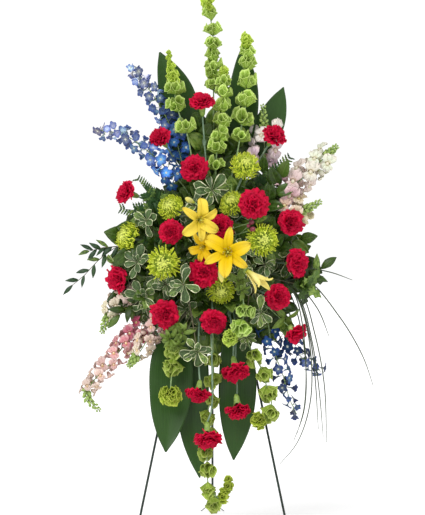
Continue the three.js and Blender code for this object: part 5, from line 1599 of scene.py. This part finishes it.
def add_rosette(foliage, centre, leaves, length, rng, kind="spoon"):
    """A whorl of leaves that opens away from the foam, the inner ones shorter and raised."""
    away = unit(centre - in_foam((0, FOAM["depth"] / 2, 0)))
    outward = unit(unit(away + FRONT) + rng.uniform(-0.3, 0.3, 3))
    basis = np.array(turn_to(outward, rng.uniform(0, 6.28)))
    total = leaves + leaves // 2
    for k in range(total):
        inner = k >= leaves
        angle = 2 * np.pi * k / leaves + (GOLDEN if inner else 0) + rng.uniform(-0.3, 0.3)
        lift = rng.uniform(0.7, 1.3) if inner else rng.choice([-0.2, 0.15, 0.6]) + rng.uniform(-0.15, 0.2)
        direction = basis @ unit([math.cos(angle), math.sin(angle), lift])
        size = length * (0.6 if inner else 1) * rng.uniform(0.78, 1.12)
        foot = centre + 2 * direction - outward * rng.uniform(0, 8)
        foliage.add(kind, foot, direction, outward + 0.2 * FRONT + rng.uniform(-0.3, 0.3, 3), size)


def make_pittosporum(sizes):
    rng = draws(sizes, 8)
    for name, branches in PITTOSPORUM.items():
        foliage = Foliage()
        for fork, whorls in branches:
            knot = seen(fork)
            foliage.twig(rooted(name, [knot]), 8, (2.8, 2.2))
            for at, leaves, length in whorls:
                centre = seen(at)
                bend = (knot + centre) / 2 + (0, 6, 4)
                foliage.twig([knot, bend, centre], 10, (2.0, 1.5))
                add_rosette(foliage, centre, leaves, length, rng)
        piece(f"{name}_branches", foliage.parts(rng), name)


def add_branch(foliage, line, leaves, length, rng, kind, start, spread=0.9, thickness=(2.0, 1.1)):
    """Leaves to the left and right of a line by turns, as in the part's source."""
    foliage.twig(line, 16, thickness)
    shares = np.minimum(0.99, start + (1 - start) * (np.arange(leaves) + 0.5) / leaves)
    at, ahead = along_path(line, shares)
    for k in range(leaves):
        side = unit(np.cross(ahead[k], FRONT)) * (1 if k % 2 else -1)
        out = 0.12 if k == leaves - 1 else spread
        forward = 0.05 if k % 4 < 2 else 0.6
        direction = unit(side * out + ahead[k] + FRONT * forward)
        foliage.add(kind, at[k], direction, FRONT + 0.25 * UP + rng.uniform(-0.35, 0.35, 3),
                    length * rng.uniform(0.9, 1.08))


def add_frond(foliage, line, half_width, pairs, rng):
    """A fern frond: leaflets in pairs that shorten to the tip."""
    foliage.twig(line, 16, (1.4, 0.5))
    shares = np.linspace(0.38, 0.99, pairs)
    at, ahead = along_path(line, shares)
    for k, share in enumerate(np.linspace(0, 1, pairs)):
        length = half_width * min(1, 0.75 + 2 * share) * (1.05 - 0.68 * share)
        for side in (-1, 1):
            out = unit(np.cross(ahead[k], FRONT)) * side
            direction = unit(out + 0.55 * ahead[k] + FRONT * rng.uniform(-0.1, 0.16))
            foliage.add("pinna", at[k], direction, FRONT + 0.2 * out, length * rng.uniform(0.95, 1.08))


def make_leaf_branches(sizes):
    rng = draws(sizes, 9)
    for name, branches in LEAF_BRANCHES.items():
        foliage = Foliage()
        for path, leaves, length, kind in branches:
            add_branch(foliage, rooted(name, seen(path)), leaves + 2, length, rng, kind, 0.35)
        piece(f"{name}_branches", foliage.parts(rng), name)
    for name, fronds in FERNS.items():
        foliage = Foliage()
        for path in fronds:
            add_frond(foliage, rooted(name, seen(path)), 46, 20, rng)
        piece(f"{name}_fronds", foliage.parts(rng), name)


def make_ruscus(sizes):
    rng = draws(sizes, 10)
    foliage = Foliage()
    for i, (path, leaves, start) in enumerate(RUSCUS):
        line, more = (rooted("ruscus", seen(path)), 4) if i == 0 else (seen(path), 2)
        add_branch(foliage, line, leaves + more, 40, rng, "ruscus", start, 0.75, (1.9, 0.9))
    piece("italian_ruscus_branch", foliage.parts(rng), "italian_ruscus")


def make_grass():
    knot = seen(GRASS_BUNCH)
    lines = [(smooth_path(rooted("grass", [knot]), 8), (3.2, 2.4))]
    for blade_path in GRASS_BLADES:
        line = smooth_path([knot, *seen(blade_path)], 40)[:-1]
        lines.append((line, (1.9, 1.8, 1.7, 1.5, 0.7)))
    piece("bear_grass_blades", [stems(lines, "grass", sides=5)], "bear_grass")


# Branches behind the top stalks and beside the blooms: path, leaves, their length and kind.
BEHIND_STALKS = (
    (((-30, 34, 950), (-22, 26, 1040), (-30, 20, 1110)), 9, 70, "broad"),
    (((20, 30, 950), (24, 20, 1030), (8, 14, 1110)), 10, 72, "broad"),
    (((70, 34, 930), (62, 24, 1010), (66, 18, 1070)), 8, 66, "broad"),
    (((100, 60, 900), (140, 52, 960), (150, 46, 1000)), 7, 60, "oval"),
)
# Sprigs: the tip of each twig, its leaves, their length and kind.
SPRIGS = (
    ((-98, 192, 566), 7, 38, "bright"), ((-80, 202, 542), 7, 36, "bright"),
    ((-114, 198, 526), 7, 34, "bright"), ((-92, 206, 504), 7, 30, "bright"),
    ((78, 224, 690), 8, 34, "bright"), ((88, 222, 664), 7, 30, "bright"),
    ((212, 148, 584), 4, 50, "bright"), ((262, 122, 676), 6, 62, "cut"), ((268, 100, 700), 5, 56, "cut"),
)
# Buds on twigs of their own: place, length and whether they are red.
TWIG_BUDS = (
    ((110, 206, 852), 20, True), ((113, 208, 832), 22, True), ((104, 206, 842), 15, True),
    ((219, 154, 562), 17, False),
)
FILL = {"middle": 728, "half_width": 262, "above": 232, "below": 212, "edge_out": 66, "crown_out": 120}


def fill_depth(across, up):
    """How far out the filling foliage reaches at a place on the face, behind the blooms."""
    edge = (across / FILL["half_width"]) ** 2 + ((up - FILL["middle"]) / FILL["above"]) ** 2
    return FILL["edge_out"] + FILL["crown_out"] * (1 - min(edge, 1))


def fill_line(across, out, up, rng):
    """A twig from the foam to a place on the face."""
    tip = seen((across, max(out, 26 - easel_depth(up)), up))
    across, up = np.clip(0.3 * across, -50, 50), np.clip(0.5 * (up - FOAM["middle"]), -100, 100)
    root = in_foam((across, rng.uniform(30, 72), up))
    return np.array([root, (root + tip) / 2 + rng.uniform(-8, 8, 3), tip])


def make_fill(sizes):
    rng = draws(sizes, 11)
    kinds = {name: Foliage() for name in ("pittosporum", "salal", "fern", "backing")}
    total = sizes.fill_branches
    for i in range(total):
        share = math.sqrt((i + 0.5) / total)
        across = FILL["half_width"] * share * math.cos(i * GOLDEN)
        rise = share * math.sin(i * GOLDEN)
        up = FILL["middle"] + FILL["above" if rise > 0 else "below"] * rise
        depth = fill_depth(across, up)
        if i % 3 == 0:
            line = fill_line(across, 0.5 * depth, up, rng)
            add_branch(kinds["backing"], line, 4, rng.uniform(72, 96), rng, "broad", 0.55, 1.1)
            continue
        line = fill_line(across, depth * rng.uniform(0.7, 1.0), up, rng)
        draw = rng.uniform(0, 1)
        if draw < 0.34:
            foliage = kinds["pittosporum"]
            foliage.twig(line, 10, (2.2, 1.5))
            leaves = int(rng.integers(6, 9))
            add_rosette(foliage, line[-1], leaves, rng.uniform(36, 50), rng)
        elif draw < 0.8:
            leaves = int(rng.integers(6, 10))
            add_branch(kinds["salal"], line, leaves, rng.uniform(40, 66), rng, "oval", 0.4, 1.0)
        else:
            add_frond(kinds["fern"], line, 40, 13, rng)
    for path, leaves, length, kind in BEHIND_STALKS:
        line = rooted("aspidistra_upper", seen(path))
        add_branch(kinds["backing"], line, leaves, length, rng, kind, 0.35, 0.7)
    for name, foliage in kinds.items():
        if foliage.lines:
            piece(f"filling_{name}", foliage.parts(rng))


def make_sprigs(sizes):
    rng = draws(sizes, 12)
    foliage = Foliage()
    for at, leaves, length, kind in SPRIGS:
        line = fill_line(*at, rng)
        foliage.twig(line, 10, (1.9, 1.2))
        add_rosette(foliage, line[-1], leaves, length, rng, kind)
    parts = foliage.parts(rng)
    lines = []
    for at, length, is_red in TWIG_BUDS:
        line = fill_line(*at, rng)
        lines.append((smooth_path(line, 10), (1.5, 1.1)))
        ahead = unit(line[-1] - line[-2])
        turn = Matrix(frames(ahead, UP).tolist())
        radius = (0.36 if is_red else 0.46) * length
        bud = pod(length, radius, 10, (0.5, 0.85, 1.0, 0.9, 0.5)).worn("berry" if is_red else "bud")
        parts.append(bud.moved(placed(line[-1] - 2 * ahead, turn, 1)))
    piece("sprigs_and_buds", [*parts, stems(lines, "stem", sides=6)])


# Easel, foam and stage


STAND = {
    "easel_paint": ("easel_leg_left", "easel_leg_right", "easel_hinge_pin", "easel_rear_leg",
                    "easel_upper_bar", "easel_lower_bar"),
    "foam": ("foam_block",), "tray": ("foam_tray",), "tie": ("tie_left", "tie_right"),
}


def make_stand():
    for wear, names in STAND.items():
        for name in names:
            materials = frame["nodes"][name].data.materials
            materials.clear()
            materials.append(FINISHES[wear])


def aim(made, place, way):
    made.location = place
    made.rotation_mode = "QUATERNION"
    made.rotation_quaternion = Vector(way).to_track_quat("-Z", "Y")


def soft_sun(name, towards, width, strength):
    """A light as even as a far softbox, in a direction from the spray and as wide as some degrees of sky."""
    light = bpy.data.lights.new(name, "SUN")
    light.angle = math.radians(width)
    light.energy = strength
    aim(add_object(name, light), Vector(towards) * 3, -Vector(towards))


def make_stage(sizes):
    scene = bpy.context.scene
    count = 96
    angle = 2 * np.pi * np.arange(count) / count
    ring = np.stack([np.cos(angle), np.sin(angle), np.zeros(count)], -1) * sizes.floor_radius
    mesh = bpy.data.meshes.new("floor")
    mesh.from_pydata(ring.tolist(), [], [list(range(count))])
    floor = add_object("floor", mesh)
    # The floor glows a little: painted light that lifts the spray's shadow on it and lights the spray from
    # below.
    plain_finish("floor", (0.97, 0.97, 0.97), (0.95, 0.95, 0.95), (0.7, 0.8), scale=3, bump=0.0,
                 Emission_Color=(1, 1, 1, 1), Emission_Strength=0.29)
    mesh.materials.append(FINISHES["floor"])
    world = scene.world or bpy.data.worlds.new("World")
    scene.world = world
    world.use_nodes = True
    background = world.node_tree.nodes["Background"]
    background.inputs["Color"].default_value = (1, 1, 1, 1)
    nodes = Nodes(world.node_tree)
    seen_directly = nodes.add("ShaderNodeLightPath", output="Is Camera Ray")
    strength = nodes.add("ShaderNodeMapRange", {0: seen_directly, 3: 0.62, 4: 1.05})
    nodes.feed(background.inputs["Strength"], strength)
    soft_sun("key", (-0.5, -1.0, 0.95), 40, 1.9)
    soft_sun("fill", (0.9, -0.8, 0.5), 60, 0.5)
    camera = bpy.data.cameras.new("photo_camera")
    camera.sensor_width = SENSOR
    camera.lens = SENSOR * EYE["distance"] / (IMAGE["height"] * IMAGE["mm_per_pixel"])
    camera.clip_end = 200
    scene.camera = add_object("photo_camera", camera)
    place = (SHIFT[0], SHIFT[1] - EYE["distance"] * MM, EYE["height"] * MM)
    aim(scene.camera, place, -FRONT)
    scene.view_settings.view_transform = "Standard"


# Operators and panel


class SPRAY_OT_finishes(bpy.types.Operator):
    """Node trees and materials that every other step uses"""

    bl_idname = "spray.finishes"
    bl_label = "Finishes"

    def execute(self, context):
        TREES.update(copies=copies_tree(), spiral=spiral_tree(), stems=stem_tree())
        GROUPS.update(mottle=mottle_group(), petal=petal_group(), leaf=leaf_group(),
                      parallel=parallel_group(), net=net_group())
        make_finishes(context.scene.spray_colours)
        return {"FINISHED"}


class SPRAY_OT_stand(bpy.types.Operator):
    """Paint on the easel, and the foam, its tray and its ties"""

    bl_idname = "spray.stand"
    bl_label = "Easel and foam"

    def execute(self, context):
        make_stand()
        return {"FINISHED"}


class SPRAY_OT_carnations(bpy.types.Operator):
    """Twenty ruffled carnation heads"""

    bl_idname = "spray.carnations"
    bl_label = "Carnations"

    def execute(self, context):
        make_carnations(context.scene.spray_colours, context.scene.spray_sizes)
        return {"FINISHED"}


class SPRAY_OT_mums(bpy.types.Operator):
    """Seven spider chrysanthemum heads"""

    bl_idname = "spray.mums"
    bl_label = "Spider chrysanthemums"

    def execute(self, context):
        make_mums(context.scene.spray_colours, context.scene.spray_sizes)
        return {"FINISHED"}


class SPRAY_OT_lilies(bpy.types.Operator):
    """Four lilies with their stems and buds"""

    bl_idname = "spray.lilies"
    bl_label = "Lilies"

    def execute(self, context):
        scene = context.scene
        make_lilies(scene.spray_colours, scene.spray_sizes)
        make_lily_stems(scene.spray_colours, scene.spray_sizes)
        return {"FINISHED"}


class SPRAY_OT_bloom_stems(bpy.types.Operator):
    """Stems and calyxes of the carnations and chrysanthemums"""

    bl_idname = "spray.bloom_stems"
    bl_label = "Bloom stems"

    def execute(self, context):
        make_bloom_stems()
        return {"FINISHED"}


class SPRAY_OT_bells(bpy.types.Operator):
    """Stems of bells of Ireland with whorls of veined bells"""

    bl_idname = "spray.bells"
    bl_label = "Bells of Ireland"

    def execute(self, context):
        make_bells(context.scene.spray_sizes)
        return {"FINISHED"}


class SPRAY_OT_delphinium(bpy.types.Operator):
    """Blue delphinium spikes"""

    bl_idname = "spray.delphinium"
    bl_label = "Delphinium"

    def execute(self, context):
        make_delphinium(context.scene.spray_colours, context.scene.spray_sizes)
        return {"FINISHED"}


class SPRAY_OT_snapdragons(bpy.types.Operator):
    """Pale and coral snapdragon spikes"""

    bl_idname = "spray.snapdragons"
    bl_label = "Snapdragons"

    def execute(self, context):
        make_snapdragons(context.scene.spray_sizes)
        return {"FINISHED"}


class SPRAY_OT_broad_leaves(bpy.types.Operator):
    """Broad aspidistra leaves above and below"""

    bl_idname = "spray.broad_leaves"
    bl_label = "Aspidistra leaves"

    def execute(self, context):
        make_aspidistra(context.scene.spray_sizes)
        return {"FINISHED"}


class SPRAY_OT_foliage(bpy.types.Operator):
    """Pittosporum, leafy branches, ferns, ruscus and bear grass"""

    bl_idname = "spray.foliage"
    bl_label = "Foliage"

    def execute(self, context):
        sizes = context.scene.spray_sizes
        make_pittosporum(sizes)
        make_leaf_branches(sizes)
        make_ruscus(sizes)
        make_grass()
        return {"FINISHED"}


class SPRAY_OT_fill(bpy.types.Operator):
    """Foliage that fills the body of the spray between the blooms"""

    bl_idname = "spray.fill"
    bl_label = "Filling foliage"

    def execute(self, context):
        make_fill(context.scene.spray_sizes)
        return {"FINISHED"}


class SPRAY_OT_sprigs(bpy.types.Operator):
    """Bright and cut leaves and buds on twigs of their own"""

    bl_idname = "spray.sprigs"
    bl_label = "Sprigs and buds"

    def execute(self, context):
        make_sprigs(context.scene.spray_sizes)
        return {"FINISHED"}


class SPRAY_OT_stage(bpy.types.Operator):
    """Floor, soft light and the photograph's camera"""

    bl_idname = "spray.stage"
    bl_label = "Stage"

    def execute(self, context):
        make_stage(context.scene.spray_sizes)
        return {"FINISHED"}


STEPS = (
    SPRAY_OT_finishes, SPRAY_OT_stand, SPRAY_OT_carnations, SPRAY_OT_mums, SPRAY_OT_lilies,
    SPRAY_OT_bloom_stems, SPRAY_OT_bells, SPRAY_OT_delphinium, SPRAY_OT_snapdragons,
    SPRAY_OT_broad_leaves, SPRAY_OT_foliage, SPRAY_OT_fill, SPRAY_OT_sprigs, SPRAY_OT_stage,
)


class SPRAY_PT_panel(bpy.types.Panel):
    """The spray's sizes, colours and steps"""

    bl_idname = "SPRAY_PT_panel"
    bl_label = "Funeral spray"
    bl_space_type = "VIEW_3D"
    bl_region_type = "UI"
    bl_category = "Funeral spray"

    def draw(self, context):
        layout = self.layout
        for settings in (context.scene.spray_sizes, context.scene.spray_colours):
            box = layout.box()
            for key in settings.__annotations__:
                box.prop(settings, key)
        for step in STEPS:
            layout.operator(step.bl_idname)


CLASSES = (SprayColours, SpraySizes, *STEPS, SPRAY_PT_panel)


def register():
    for cls in CLASSES:
        bpy.utils.register_class(cls)
    bpy.types.Scene.spray_colours = PointerProperty(type=SprayColours)
    bpy.types.Scene.spray_sizes = PointerProperty(type=SpraySizes)


def unregister():
    del bpy.types.Scene.spray_sizes
    del bpy.types.Scene.spray_colours
    for cls in reversed(CLASSES):
        bpy.utils.unregister_class(cls)


def main():
    register()
    for step in STEPS:
        group, name = step.bl_idname.split(".")
        getattr(getattr(bpy.ops, group), name)()


if __name__ == "__main__":
    main()
